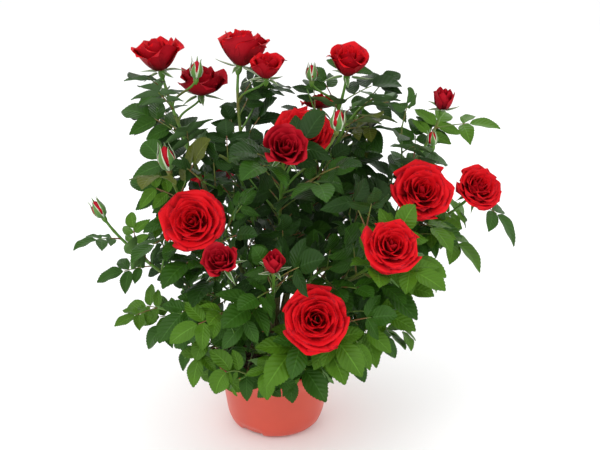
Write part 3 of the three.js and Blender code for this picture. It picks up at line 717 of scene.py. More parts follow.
def leaflet_grid():
    """The flat outline of a rose leaflet, in shares: an egg shape that ends in a point, with saw teeth."""
    ahead = np.linspace(0, 1, ROWS)
    wide = ahead ** OUTLINE["swell"] * (1 - ahead) ** OUTLINE["taper"]
    wide /= wide.max()
    wide[0], wide[-1] = OUTLINE["foot"], OUTLINE["tip"]
    out = np.linspace(-1, 1, COLUMNS)
    u = out[None, :] * wide[:, None]
    v = np.repeat(ahead[:, None], COLUMNS, 1)
    tooth = np.where(np.arange(ROWS) % 2 == 1, 1.0, -1.0)
    tooth[[0, -1]] = 0
    for column in (0, -1):
        u[:, column] *= 1 + OUTLINE["teeth_out"] * tooth
        v[:, column] += OUTLINE["teeth_ahead"] * tooth
    # the side veins slant forward, so the rows bend towards the tip at the rim
    v += OUTLINE["slant"] * np.abs(out)[None, :] * np.sin(math.pi * ahead)[:, None]
    return u.ravel(), v.ravel(), np.stack([np.tile(out, ROWS) / 2 + 0.5, v.ravel()], 1)


LEAFLET_U, LEAFLET_V, LEAFLET_UVS = leaflet_grid()


def add_leaflet(sheets, leaf, leaflet, draw, scale):
    """One leaflet: folded a little along its midrib, waved along its rim, its tip bent down."""
    u, v, b = LEAFLET_U, LEAFLET_V, BLADE
    mine = {name: lerp(*ends, draw()) for name, ends in VARIED.items()}
    shape = dict(leaflet, turn=leaflet["turn"] + mine["lean"])
    for size in ("length", "width"):
        shape[size] *= mine[size] * scale
    x, y = on_flat_leaf(shape, u, b["foot"] + v * (1 - b["foot"]))
    half = shape["width"] / 2
    wave = np.sin(v * b["waves"] + mine["phase"] + np.sign(u) * b["lag"])
    rise = mine["fold"] * half * np.abs(u) - mine["curl"] * shape["length"] * v**2
    rise = rise + mine["wave"] * wave * np.abs(u) ** 2 - b["rib"] * np.exp(-((u / b["rib_width"]) ** 2))
    top, below = on_leaf(leaf, x, y, rise), on_leaf(leaf, x, y, rise - b["thick"])
    add_blade(sheets, top, below, LEAFLET_UVS, LEAFLET_SHAPE)


def add_stalk(sheets, leaf, leaflets):
    """The leaf's stalk, thickest at its foot."""
    far = max(leaflet["y"] for leaflet in leaflets) / leaf["reach"]
    line = points_of(stretch(leaf["midrib"], 0, far), STALK["steps"])
    radii = np.interp(np.linspace(0, 1, len(line)), STALK["shares"], STALK["radii"])
    add_tube(sheets, line, radii, STALK["sides"])


TINTS = ("dark", "mid", "light", "bronze")
# Leaves far out from the middle are lighter, as painted light at the rim of the bush, and those inside
# darker, as painted shade within it. Low leaves are lighter too, and high ones darker. chance is how far luck
# may shift a leaf.
GREEN = dict(
    place=0.7, out=150, low=150, lighter=0.35, high=260, darker=0.15, chance=0.45, light=1.14, mid=0.6,
)
BRONZE = dict(shoots=("left_upper", "inner_right"), above=290, share=0.3)


def tint_of(leaf, owner, draw):
    """Which colour a leaf has: by its place in the bush, as painted shade inside it and painted light at its
    rim, and partly by chance.
    """
    x, y, z = leaf["midrib"](GREEN["place"])
    if SHOOTS[owner]["name"] in BRONZE["shoots"] and z > BRONZE["above"] and draw() < BRONZE["share"]:
        return "bronze"
    # painted light and shade: the farther out from the middle, the lighter; inside the bush, darker
    value = math.hypot(x, y) / GREEN["out"] + GREEN["lighter"] * (z < GREEN["low"])
    value += GREEN["chance"] * lerp(-1, 1, draw()) - GREEN["darker"] * (z > GREEN["high"])
    if value > GREEN["light"]:
        return "light"
    return "mid" if value > GREEN["mid"] else "dark"


# The blooms. Lengths are shares of the bloom's radius; the first number of a pair is for the innermost petal
# and the second for the outermost. base: the petals' feet, above the bloom's middle; height and spread: how
# far up and out their tips reach; belly and round: how far a petal bulges, and how full it is at its foot;
# reflex: how far its rim rolls back; arc: how far round it reaches, in degrees; even: how evenly they open;
# wave and uneven: of their rims, and among them; point: how pointed they are; size: of the bloom, against the
# width given.
BLOOMS = dict(
    full=dict(
        petals=30, base=-0.5, height=(0.28, -0.06), spread=(0.04, 1.02), belly=0.84, round=0.75, reflex=0.14,
        arc=(78, 43), even=1.02, wave=1.5, uneven=0.1, point=0.52, size=0.94,
    ),
    half=dict(
        petals=20, base=-0.74, height=(0.44, 0.26), spread=(0.04, 0.95), belly=0.9, round=0.66, reflex=0.15,
        arc=(80, 44), even=1.1, wave=1.5, uneven=0.07, point=0.32, size=1,
    ),
    cup=dict(
        petals=16, base=-1.0, height=(0.52, 0.4), spread=(0.06, 0.98), belly=0.84, round=0.54, reflex=0.22,
        arc=(80, 48), even=0.95, wave=2.8, uneven=0.09, point=0.22, size=1,
    ),
    opening=dict(
        petals=12, base=-1.0, height=(0.56, 0.44), spread=(0.06, 0.66), belly=1.04, round=0.8, reflex=0.1,
        arc=(80, 58), even=1.0, wave=1.4, uneven=0.06, point=0.3, size=1,
    ),
    bud=dict(
        petals=8, base=-1.15, height=(1.3, 0.95), spread=(0.04, 0.34), belly=1.0, round=0.75, reflex=0.03,
        arc=(80, 62), even=1.0, wave=0.6, uneven=0.03, point=0.2, size=1,
    ),
)
OPENING_WIDTH = 28  # a cup smaller than this is only just opening


def style_of(flower):
    """How a flower is drawn."""
    return "opening" if flower["form"] == "cup" and flower["width"] < OPENING_WIDTH else flower["form"]


PETAL_ROWS, PETAL_COLUMNS = 10, 9
PETAL_SHAPE = blade_faces(PETAL_ROWS, PETAL_COLUMNS)
GOLDEN = math.radians(137.5)
PETAL = dict(
    thick=0.32,  # mm, and the rest in shares of the bloom's radius or of the petal
    rise=1.6, stray=0.8, foot_out=(0.04, 0.05), filled=6, bulge=1.1, clear=0.03, bud_belly=(0.82, 0.1),
    foot_up=0.04, foot_round=0.3, fullest=0.75, shoulder=0.62,
    outer=1.6, sharpness=(0.55, 1.15), inner_sharpness=0.7, corners=(2.2, 1.15),
    bud_width=0.8, widen=1.15, least=0.06, widths=(0.9, 1.12), widest=0.68, foot_width=0.34, rim=0.44,
    bend=(1.0, 1.7), slack=(0.03, 0.16), most_turn=1.5,
    roll_from=0.66, roll_middle=0.35, roll_shape=1.4, side_roll=0.5, side_from=0.7, side_above=0.3,
    rolls=(0.7, 1.4), roll=(0.25, 0.9), wave=(0.01, 0.022), waves=4.2, twist=0.05, inner_twist=0.4,
    jitter=0.2,
)


def petal_side(style, k, draw):
    """A petal's middle line from foot to tip, as out and up, and how far out its tip is."""
    f, p = BLOOMS[style], PETAL
    tip_out = lerp(*f["spread"], k ** f["even"]) * lerp(1 - f["uneven"], 1 + f["uneven"], draw())
    tip_up = lerp(*f["height"], k ** p["rise"]) + f["uneven"] * lerp(-p["stray"], p["stray"], draw())
    foot_out, low = p["foot_out"][0] + p["foot_out"][1] * k, f["base"]
    if style == "bud":
        belly = p["bud_belly"][0] + p["bud_belly"][1] * k
    else:
        belly = tip_out * lerp(p["bulge"], f["belly"], min(1, k * p["filled"])) + p["clear"]
    foot_up = low + p["foot_up"] + p["foot_round"] * (p["fullest"] - f["round"])
    return bezier([
        np.array([foot_out, low]), np.array([foot_out + belly * f["round"], foot_up]),
        np.array([belly, lerp(low, tip_up, p["shoulder"])]), np.array([tip_out, tip_up]),
    ]), tip_out


def rim_roll(u, v):
    """How far each point of a petal rolls back: most at the corners of its rim."""
    p = PETAL
    corner = p["roll_middle"] + (1 - p["roll_middle"]) * np.abs(u) ** p["roll_shape"]
    upper = np.clip((v - p["roll_from"]) / (1 - p["roll_from"]), 0, 1) ** 2
    beside = np.clip(np.abs(u) - p["side_from"], 0, 1) * (v > p["side_above"])
    return upper * corner + p["side_roll"] * beside


def petal_outline(u, v, k, point, draw):
    """How far along the middle line the points of a petal lie, and the share of its width at each row: it
    widens up to its shoulder and is round above it. The outer petals end in a point."""
    p = PETAL
    outer = min(1, k * p["outer"])
    sharp = point * lerp(*p["sharpness"], draw()) * lerp(p["inner_sharpness"], 1, outer)
    along = v * (1 - v**1.5 * sharp * np.abs(u) ** lerp(*p["corners"], outer))
    lower = p["foot_width"] + (1 - p["foot_width"]) * np.sin(np.minimum(v / p["widest"], 1) * math.pi / 2)
    upper = np.sqrt(np.maximum(0, 1 - ((v - p["widest"]) / p["rim"]) ** 2))
    return along, np.where(v < p["widest"], lower, upper)


def petal_points(style, k, draw, thick):
    """One petal's two faces, in the bloom's own axes with the petal's middle towards X. k goes from 0 for the
    innermost petal to 1 for the outermost."""
    f, p = BLOOMS[style], PETAL
    side, tip_out = petal_side(style, k, draw)
    u, v = blade_grid(PETAL_ROWS, PETAL_COLUMNS)
    along, outline = petal_outline(u, v, k, f["point"], draw)
    span = (tip_out if style != "bud" else p["bud_width"]) * lerp(1.0, p["widen"], k) + p["least"]
    x = u * (math.radians(lerp(*f["arc"], k)) * span * lerp(*p["widths"], draw())) * outline
    spots = side(along[..., None])
    r, z = spots[..., 0], spots[..., 1]
    step = 1e-3
    ahead = side(np.minimum(along + step, 1)[..., None]) - side(np.maximum(along - step, 0)[..., None])
    ahead /= np.linalg.norm(ahead, axis=2)[..., None]
    inward = np.stack([-ahead[..., 1], ahead[..., 0]], 2)
    bend = r * lerp(*p["bend"], k) + lerp(*p["slack"], k)
    turn = np.clip(x / bend, -p["most_turn"], p["most_turn"])
    rise = bend * (1 - np.cos(turn))
    rise = rise - f["reflex"] * (p["roll"][0] + p["roll"][1] * k) * lerp(*p["rolls"], draw()) * rim_roll(u, v)
    phase = draw() * math.tau
    rise = rise + (p["wave"][0] + p["wave"][1] * k) * f["wave"] * v**2 * np.sin(u * p["waves"] + phase)
    rise = rise - p["twist"] * u * v * (1 - p["inner_twist"] * k)
    top = np.stack([r + inward[..., 0] * rise, bend * np.sin(turn), z + inward[..., 1] * rise], 2)
    normal = np.cross(np.gradient(top, axis=1), np.gradient(top, axis=0))
    normal /= np.maximum(np.linalg.norm(normal, axis=2), 1e-9)[..., None]
    below = top + normal * thick * np.sign((normal * top).sum(2).mean())
    uvs = np.stack(np.broadcast_arrays(u / 2 + 0.5, v), 2).reshape(-1, 2)
    return top.reshape(-1, 3), below.reshape(-1, 3), uvs


def bloom_frame(flower, draw):
    """The three axes of a flower, turned about its facing by chance."""
    axes = np.stack([*square_to(flower["faces"], FLOWER["level"]), flower["faces"]])
    return turned_axes(axes, draw() * math.tau)


def add_bloom(sheets, flower, axes, draw):
    """All the petals of a flower, from the middle outwards, each turned on from the last."""
    style, half = style_of(flower), flower["width"] / 2
    count = BLOOMS[style]["petals"]
    for i in range(count):
        k = i / (count - 1)
        angle = i * GOLDEN + PETAL["jitter"] * lerp(-1, 1, draw())
        turned = turned_axes(axes, angle) * half * BLOOMS[style]["size"]
        top, below, uvs = petal_points(style, k, draw, PETAL["thick"] / half)
        add_blade(sheets, flower["at"] + top @ turned, flower["at"] + below @ turned, uvs, PETAL_SHAPE)


SEPAL_ROWS, SEPAL_COLUMNS = 9, 5
SEPAL_SHAPE = blade_faces(SEPAL_ROWS, SEPAL_COLUMNS)
SEPALS = dict(full=(17, 2.1), half=(20, 1.75), cup=(21, 1.6), opening=(19, 1.2))  # mm, and angle from upright
SEPAL = dict(
    number=5, jitter=0.1, small=0.62, grows=20, lengths=(0.8, 1.2), leans=(0.88, 1.12), curls=(-0.5, 0.6),
    width=1.9, widens=0.04, outline=(0.86, 0.2), swell=0.8, taper=0.6, least=0.05,
    out=2.0, below=1.2, fold=0.5, thick=0.5,
)
# A bud's sepals, in shares of the bud's radius. Each is broad below and ends in a point that may stand loose.
BUD_SEPAL = dict(
    foot=-1.3, tips=(1.35, 1.9), loose=(0.1, 1.0),
    heights=(0, 0.12, 0.4, 0.62, 0.8), outs=(0.3, 0.68, 0.93, 0.8), shoulder=(0.55, 0.1), point=(0.4, 0.5),
    arc=math.radians(39), narrowing=(0, 0.3, 0.55, 0.8, 1), widths=(1.0, 0.92, 0.66, 0.3, 0.06),
    faces=(0.1, 0.6),  # mm
)


def open_sepal(style, half, draw):
    """The two faces of a long narrow sepal that stands out under the petals of an open bloom."""
    u, v = blade_grid(SEPAL_ROWS, SEPAL_COLUMNS)
    length, angle = SEPALS[style]
    p = SEPAL
    length *= lerp(p["small"], 1, half / p["grows"]) * lerp(*p["lengths"], draw())
    lean = angle * lerp(*p["leans"], draw()) + lerp(*p["curls"], draw()) * v
    rising, start = p["outline"]
    outline = np.sin(math.pi * np.minimum(v * rising + start, 1)) ** p["swell"] * (1 - v) ** p["taper"]
    wide = (p["width"] + p["widens"] * half) * (outline + p["least"])
    out = p["out"] + np.cumsum(np.sin(lean), 0) * length / SEPAL_ROWS
    up = BLOOMS[style]["base"] * half - p["below"] + np.cumsum(np.cos(lean), 0) * length / SEPAL_ROWS
    faces = []
    for sunk in (0, p["thick"]):
        fold = p["fold"] * wide * u**2 - sunk
        spots = np.broadcast_arrays(out - np.cos(lean) * fold, u * wide, up + np.sin(lean) * fold)
        faces.append(np.stack(spots, 2))
    return faces


def bud_sepal(half, draw):
    """The two faces of a broad sepal that is wrapped round a bud and ends in a free point."""
    b = BUD_SEPAL
    u, v = blade_grid(SEPAL_ROWS, SEPAL_COLUMNS)
    up = half * lerp(b["foot"], lerp(*b["tips"], draw()), v)
    loose = lerp(*b["loose"], draw())
    ends = [start + more * loose for start, more in (b["shoulder"], b["point"])]
    out = half * np.interp(v, [*b["heights"], 1], [*b["outs"], *ends])
    turn = b["arc"] * np.interp(v, b["narrowing"], b["widths"]) * u
    return [
        np.stack(np.broadcast_arrays((out + more) * np.cos(turn), (out + more) * np.sin(turn), up), 2)
        for more in b["faces"]
    ]


def add_sepals(sheets, flower, axes, draw):
    """Five sepals, round a bud or under an open bloom."""
    style, half = style_of(flower), flower["width"] / 2
    uvs = grid_uvs(np.linspace(0, 1, SEPAL_COLUMNS), SEPAL_ROWS)
    for i in range(SEPAL["number"]):
        angle = i * math.tau / SEPAL["number"] + SEPAL["jitter"] * lerp(-1, 1, draw())
        faces = bud_sepal(half, draw) if style == "bud" else open_sepal(style, half, draw)
        turned = turned_axes(axes, angle)
        top, below = (flower["at"] + face.reshape(-1, 3) @ turned for face in faces)
        add_blade(sheets, top, below, uvs, SEPAL_SHAPE, (0, 0))


CALYX = dict(
    neck=1.2, small=0.75, grows=60, under=1.8, sides=12,  # mm, and its size on the smallest flower
    heights=np.array([-6.2, -5, -2.6, 0, 1.6, 2.6]), radii=np.array([0, 1.9, 2.9, 3.1, 2.7, 3.2]),
)


def add_calyx(sheets, flower):
    """The small green urn between the stalk and the petals."""
    half = flower["width"] / 2
    size = CALYX["small"] + half / CALYX["grows"]
    middle = BLOOMS[style_of(flower)]["base"] * half - CALYX["under"] * size
    line = flower["at"] + flower["faces"] * (middle + CALYX["heights"] * size)[:, None]
    radii = CALYX["radii"] * size
    radii[0] = CALYX["neck"]
    add_tube(sheets, line, radii, CALYX["sides"])


# Pot, compost and wood

def turned_grid(profile, sides, change=None):
    """A closed outline of (out, up) pairs turned about Z, which may be changed from place to place."""
    profile = np.array(profile, float)
    angles = np.arange(sides) * math.tau / sides
    out, up = (np.repeat(profile[:, i, None], sides, 1) for i in (0, 1))
    if change:
        out, up = change(out, up, angles[None, :])
    points = np.stack([out * np.cos(angles), out * np.sin(angles), up], 2).reshape(-1, 3)
    return points, grid_faces(len(profile), sides, True), grid_uvs(angles / math.tau, len(profile))


def rounded(profile, steps=5, reach=0.35):
    """The outline with each inner corner cut to a short curve."""
    made = [profile[0]]
    for before, corner, after in zip(profile, profile[1:-1], profile[2:]):
        before, corner, after = (np.array(p, float) for p in (before, corner, after))
        size = min(np.linalg.norm(corner - before), np.linalg.norm(after - corner)) * reach
        start, end = corner + unit(before - corner) * size, corner + unit(after - corner) * size
        curve = bezier([start, corner, end])
        made += [tuple(p) for p in points_of(curve, steps)]
    return made + [profile[-1]]


# The finer form of the pot: how its round foot divides, how thin its lip is, and its drain arches, with their
# bearings and half width in degrees and their height in mm
POT_SIDES = 144
AXIS = (0.01, 0.5)  # how near its axis the innermost rings lie
FOOT_ROUND = (0.71, 0.29)
LIP = dict(sunk=0.6, step=1)
ARCHES = dict(
    bearings=(-122, -2, 118), half_width=17, square=6, height=6.5, fades=16, from_flat=0.8, outer=0.6,
)


def make_pot(settings, material):
    """The pot: one thin moulded wall with a rounded foot, a flared lip and three drain arches."""
    height, wall = settings.pot_height / MM, settings.pot_wall / MM
    lip, flare = settings.pot_width / MM / 2, height - POT["flare_height"]
    floor, flat, corner, waist, neck, neck_height, inside = (
        POT[name] for name in ("floor", "flat", "corner", "waist", "neck", "neck_height", "inside"))
    foot_out, foot_up = FOOT_ROUND
    outline = [
        (AXIS[1], 0), (flat, 0), (lerp(flat, waist, foot_out), corner * foot_up), (waist, corner),
        (neck, neck_height), (lip - wall, flare), (lip, height - wall / 2), (lip - wall / 2, height),
        (lip - wall, height - LIP["sunk"]), (lip - 2 * wall - LIP["step"], flare), (neck - wall, neck_height),
        (waist - wall, corner), (flat + inside, floor), (AXIS[1], floor),
    ]
    profile = [(AXIS[0], 0)] + rounded(outline) + [(AXIS[0], floor)]

    def change(out, up, angles):
        a = ARCHES
        arch = np.zeros_like(angles)
        for bearing in a["bearings"]:
            offset = np.abs((np.degrees(angles) - bearing + 180) % 360 - 180)
            arch = arch + np.clip(1 - (offset / a["half_width"]) ** a["square"], 0, 1)
        foot = np.clip(1 - up / a["fades"], 0, 1) * (out > flat * a["from_flat"]) * (up < a["fades"])
        inner = np.arange(len(out))[:, None] > len(out) * a["outer"]
        return out, up + arch * foot * a["height"] * ~inner
    points, faces, uvs = turned_grid(profile, POT_SIDES, change)
    sheets = Sheets()
    sheets.add(points, [faces], uvs)
    return sheets.build("pot_plastic", [material], "pot", ["pot"])


COMPOST = dict(
    radius=57.3, low=40, draft=6, edge=4, axis=0.2, rings=30, sides=96,
    lumps=((0.13, 1.6), (0.4, 1.1)),  # how close they lie, per mm, and how high
)
CRUMBS = dict(
    number=260, reach=53, size=(0.8, 2.6), sunk=0.3, tilt=0.4, girth=(0.5, 1), sides=6,
    line=np.array([[-0.9], [-0.3], [0.35], [0.9]]), radii=np.array([0.35, 0.8, 0.7, 0.3]),
)


def make_compost(material):
    """Loose compost, level with the wall and lumpy, with crumbs lying on it."""
    draw = seeded(SEEDS["compost"])
    radius, rings, low, axis = (COMPOST[name] for name in ("radius", "rings", "low", "axis"))
    profile = [(axis, low), (radius - COMPOST["draft"], low), (radius, COMPOST_LEVEL - COMPOST["edge"])]
    profile += [(radius * (1 - i / rings), COMPOST_LEVEL) for i in range(rings)] + [(axis, COMPOST_LEVEL)]

    def change(out, up, angles):
        lumps = np.zeros_like(out)
        for i in range(out.shape[0]):
            for j in range(out.shape[1]):
                if up[i, j] >= COMPOST_LEVEL:
                    spot = Vector((out[i, j] * math.cos(angles[0, j]), out[i, j] * math.sin(angles[0, j]), 0))
                    lumps[i, j] = sum(noise.noise(spot * close) * high for close, high in COMPOST["lumps"])
        return out, up + lumps
    points, faces, uvs = turned_grid(profile, COMPOST["sides"], change)
    sheets = Sheets()
    sheets.add(points, [faces], uvs)
    for _ in range(CRUMBS["number"]):
        out, angle = CRUMBS["reach"] * math.sqrt(draw()), draw() * math.tau
        size = lerp(*CRUMBS["size"], draw())
        at = np.array([out * math.cos(angle), out * math.sin(angle), COMPOST_LEVEL + size * CRUMBS["sunk"]])
        aim = unit([draw() - 0.5, draw() - 0.5, CRUMBS["tilt"] * (draw() - 0.5)])
        radii = size * CRUMBS["radii"] * lerp(*CRUMBS["girth"], draw())
        add_tube(sheets, at + aim * size * CRUMBS["line"], radii, CRUMBS["sides"])
    return sheets.build("compost_crumbs", [material], "compost", ["compost"])


RIDGES = dict(drift=0.7, finer=2.7, shallower=0.5)


def bark_relief(depth, turns, run):
    """Roughens a limb by a share depth of its radius: ridges that run along it. turns sets how many lie round
    it, and run how fast they change along it, per mm."""
    def roughen(line, angles):
        far = np.concatenate([[0], np.cumsum(np.linalg.norm(np.diff(line, axis=0), axis=1))])
        relief = np.ones((len(line), len(angles)))
        for i, (spot, length) in enumerate(zip(line, far)):
            for j, angle in enumerate(angles):
                up = length * run + spot[0] * RIDGES["drift"]
                place = Vector((math.cos(angle) * turns, math.sin(angle) * turns, up))
                fine = RIDGES["shallower"] * noise.noise(place * RIDGES["finer"])
                relief[i, j] += depth * (noise.noise(place) + fine)
        return relief
    return roughen


CROWN_BARK = dict(
    steps=26, sides=36, sunk=1.5, taller=1.8, relief=(0.16, 2.2, 0.09),
    heights=(0, 3, 9, 21.6, 36), radii=(CROWN["flare"], CROWN["flare"] * 0.8, 9, 8.6, CROWN["tip"]),
)
STUBS = dict(
    number=5, between=(0.5, 0.95), foot=5, rise=0.9, length=9, radii=(2.6, 2.5, 2.4, 2.3, 2.3, 2.2), sides=12,
    relief=(0.12, 1.5, 0.2),
)


def make_crown(material):
    """The short woody crown, flared over the compost, with furrowed bark and old pruning stubs."""
    c = CROWN_BARK
    sheets = Sheets()
    steps = np.linspace(0, 1, c["steps"])
    up = COMPOST_LEVEL - c["sunk"] + (CROWN["height"] + c["taller"]) * steps
    line = np.stack([CROWN["lean"] * steps, 0 * steps, up], 1)
    radii = np.interp(steps * CROWN["height"], c["heights"], c["radii"])
    add_tube(sheets, line, radii, c["sides"], roughen=bark_relief(*c["relief"]))
    draw = seeded(SEEDS["stubs"])
    for _ in range(STUBS["number"]):
        angle, up = draw() * math.tau, lerp(*STUBS["between"], draw())
        outward = np.array([math.cos(angle), math.sin(angle), 0])
        foot = outward * STUBS["foot"] + UP * (COMPOST_LEVEL + CROWN["height"] * up)
        reach = np.linspace(0, STUBS["length"], len(STUBS["radii"]))[:, None]
        add_tube(sheets, foot + unit(outward + UP * STUBS["rise"]) * reach, STUBS["radii"], STUBS["sides"],
                 roughen=bark_relief(*STUBS["relief"]))
    return sheets.build("crown_bark", [material], "bark", ["crown"])


PRICKLE = dict(
    on_cane=7, on_stem=3, between=(0.12, 0.8), sunk=0.7, size=(2.4, 3.8), hook=0.55, sides=6,
    radii=np.array([0.85, 0.5, 0.24, 0.05]), long=3,  # the radii of a prickle that is this long
)


def add_prickles(sheets, curve, fork, number, draw):
    """Small hooked prickles on a limb, which thins towards its fork."""
    for _ in range(number):
        t, turn = lerp(*PRICKLE["between"], draw()), draw() * math.tau
        course = tangent(curve, t)
        side, other = square_to(course)
        out = side * math.cos(turn) + other * math.sin(turn)
        at = curve(t) + out * lerp(CANE["foot"], fork, t) * PRICKLE["sunk"]
        size = lerp(*PRICKLE["size"], draw())
        steps = np.linspace(0, 1, len(PRICKLE["radii"]))[:, None]
        line = at + out * size * steps - course * size * PRICKLE["hook"] * steps**2
        add_tube(sheets, line, PRICKLE["radii"] * size / PRICKLE["long"], PRICKLE["sides"])


BOUGH = dict(
    sunk=-0.02, steps=18, wider=1.15, root=(1.5, 1.3, 1.12, 1.03), sides=12, relief=(0.13, 1.2, 0.25),
)
STEM = dict(step=9, least=8, sides=9, knot=0.14, knot_every=4, knot_length=0.5, measured=20)
SIDE_STALK = dict(steps=12, sides=8)


def make_limbs(bush, bark, green):
    """The bare boughs, and the green stems that go on from them, with side stalks, twigs and prickles."""
    draw = seeded(SEEDS["prickles"])
    boughs, stems, prickles = Sheets(), Sheets(), Sheets()
    for i, s in enumerate(SHOOTS):
        cane, bare = bush.canes[i], s["bare"]
        fork = CANE["foot"] * (1 - CANE["taper"] * bare)
        if bare:
            shares = np.linspace(BOUGH["sunk"], bare, BOUGH["steps"])
            line = np.array([cane(t) for t in shares])
            radii = np.interp(shares, [0, bare], [CANE["foot"] * BOUGH["wider"], fork])
            radii[:len(BOUGH["root"])] *= BOUGH["root"]
            add_tube(boughs, line, radii, BOUGH["sides"], roughen=bark_relief(*BOUGH["relief"]))
        length = np.linalg.norm(np.diff(points_of(cane, STEM["measured"]), axis=0), axis=1).sum()
        steps = max(STEM["least"], int(length / STEM["step"]))
        past_knot = np.arange(steps + 1) % STEM["knot_every"] / STEM["knot_length"]
        knots = 1 + STEM["knot"] * np.exp(-(past_knot**2))
        radii = np.linspace(fork, CANE["tip"], steps + 1) * knots
        add_tube(stems, points_of(stretch(cane, bare, 1), steps), radii, STEM["sides"])
        for side in bush.sides[i]:
            line = points_of(side, SIDE_STALK["steps"])
            add_tube(stems, line, np.linspace(CANE["tip"], CANE["stalk"], len(line)), SIDE_STALK["sides"])
        for twig in bush.twigs[i]:
            line = points_of(twig, TWIG["steps"])
            add_tube(stems, line, np.linspace(TWIG["foot"], TWIG["tip"], len(line)), TWIG["sides"])
        add_prickles(prickles, cane, fork, PRICKLE["on_cane" if bare else "on_stem"], draw)
    boughs.build("canes_bark", [bark], "bark", [f"cane_{s['name']}" for s in SHOOTS if s["bare"]])
    stems.build("stems_green", [green], "cane", [f"shoot_{s['name']}" for s in SHOOTS])
    prickles.build("prickles", [bark], "cane")


# Materials

def linear(colour):
    """An sRGB hex colour as linear red, green, blue and alpha."""
    parts = [int(colour[i : i + 2], 16) / 255 for i in (1, 3, 5)]
    return tuple(c / 12.92 if c <= 0.04045 else ((c + 0.055) / 1.055) ** 2.4 for c in parts) + (1.0,)


def opaque(colour, share=1.0):
    """A colour with its alpha, darkened to a share of its light."""
    return tuple(part * share for part in colour[:3]) + (1.0,)


def plug(made, inputs):
    """Sets or links the inputs of a node."""
    for name, value in inputs.items():
        if isinstance(value, bpy.types.NodeSocket):
            made.id_data.links.new(value, made.inputs[name])
        else:
            made.inputs[name].default_value = value


def node(tree, kind, inputs=None, out=0, **settings):
    """Adds one node with its settings and links, and gives one of its outputs."""
    made = tree.nodes.new("ShaderNode" + kind)
    for name, value in settings.items():
        setattr(made, name, value)
    plug(made, inputs or {})
    return made.outputs[out]


FACTOR, A, B, COLOUR = 0, 6, 7, 2  # the sockets by which a Mix node takes and gives colours


def surface(name, **values):
    """A new material, with its Principled shader's own sockets set."""
    material = bpy.data.materials.new(name)
    material.use_nodes = True
    shader = material.node_tree.nodes["Principled BSDF"]
    plug(shader, {socket.replace("_", " "): value for socket, value in values.items()})
    return material, material.node_tree, shader


def patches(tree, size_mm, low, high, detail=2.0, roughness=0.5, place=None):
    """A pattern of soft patches about size_mm across, in the plant's own space, from 0 where the noise is at
    low or under it to 1 where it is at high or over it."""
    noisy = node(tree, "TexNoise", {
        "Vector": place or node(tree, "TexCoord", out="Object"), "Scale": 1 / (size_mm * MM),
        "Detail": detail, "Roughness": roughness,
    })
    return node(tree, "MapRange", {"Value": noisy, "From Min": low, "From Max": high})


def blade_place(tree):
    """Where a spot lies on its blade: as a place, and as how far across and how far along."""
    place = node(tree, "UVMap", uv_map="Blade")
    parts = node(tree, "SeparateXYZ", {"Vector": place}).node.outputs
    return place, parts["X"], parts["Y"]


def off_midrib(tree, out):
    """How far a spot lies from the middle line of its blade, from 0 to 0.5."""
    off = node(tree, "Math", {0: out, 1: 0.5}, operation="SUBTRACT")
    return node(tree, "Math", {0: off}, operation="ABSOLUTE")


def moulded_polypropylene(colour):
    """Polypropylene, injection moulded and unpainted: a soft satin shine and a faint orange-peel skin."""
    material, tree, shader = surface(
        "Polypropylene, injection moulded", Roughness=0.36, IOR=1.49, Subsurface_Weight=0.12,
        Subsurface_Scale=0.004, Subsurface_Radius=(1.0, 0.35, 0.2))
    cloud = patches(tree, 45, 0.3, 0.7)
    shade = node(tree, "Mix", {FACTOR: cloud, A: colour, B: opaque(colour, 0.9)}, COLOUR, data_type="RGBA")
    skin = node(tree, "TexNoise", {"Vector": node(tree, "TexCoord", out="Object"), "Scale": 1 / (1.6 * MM)})
    relief = node(tree, "Bump", {"Height": skin, "Strength": 0.12, "Distance": 0.1 * MM})
    plug(shader, {"Base Color": shade, "Normal": relief})
    return material


def sifted_compost(dark):
    """Peat compost, sifted and watered: dark crumbs with paler fibres, wholly matt."""
    material, tree, shader = surface("Peat compost, sifted", Roughness=0.95, Specular_IOR_Level=0.25)
    crumbs = patches(tree, 2.2, 0.35, 0.7, detail=4.0, roughness=0.65)
    shade = node(tree, "Mix", {FACTOR: crumbs, A: dark, B: linear("#5A4330")}, COLOUR, data_type="RGBA")
    relief = node(tree, "Bump", {"Height": crumbs, "Strength": 0.8, "Distance": 0.8 * MM})
    plug(shader, {"Base Color": shade, "Normal": relief})
    return material


def furrowed_bark():
    """Rose wood, grown and weathered: brown cork over green, furrowed along the cane every 2 mm or so."""
    material, tree, shader = surface("Rose bark, weathered", Roughness=0.8, Specular_IOR_Level=0.3)
    place = node(tree, "TexCoord", out="Object")
    # drawn out upwards, so that a furrow is about 12 mm long
    drawn_out = node(tree, "Mapping", {"Vector": place, "Scale": (1, 1, 0.18)})
    furrows = patches(tree, 2.2, 0.35, 0.65, detail=3.0, place=drawn_out)
    cork, ridge, young = linear("#3E3020"), linear("#7C6A45"), linear("#54602C")
    brown = node(tree, "Mix", {FACTOR: furrows, A: cork, B: ridge}, COLOUR, data_type="RGBA")
    # the wood turns green from 0.1 m up, and is all green at 0.19 m
    height = node(tree, "SeparateXYZ", {"Vector": place}, "Z")
    higher = node(tree, "MapRange", {"Value": height, "From Min": 0.1, "From Max": 0.19})
    shade = node(tree, "Mix", {FACTOR: higher, A: brown, B: young}, COLOUR, data_type="RGBA")
    relief = node(tree, "Bump", {"Height": furrows, "Strength": 0.7, "Distance": 0.4 * MM})
    plug(shader, {"Base Color": shade, "Normal": relief})
    return material


def flushed(name, roughness, flush_mm, low, high, green, red):
    """A green stalk that is flushed with red in patches."""
    material, tree, shader = surface(name, Roughness=roughness, IOR=1.45)
    flush = patches(tree, flush_mm, low, high)
    shade = node(tree, "Mix", {FACTOR: flush, A: linear(green), B: linear(red)}, COLOUR, data_type="RGBA")
    plug(shader, {"Base Color": shade})
    return material


def green_cane():
    """Young rose cane, grown this year: waxy green, flushed with red here and there on the sunny side."""
    return flushed("Rose cane, young and waxy", 0.42, 26, 0.52, 0.72, "#557F2C", "#6E5A2C")


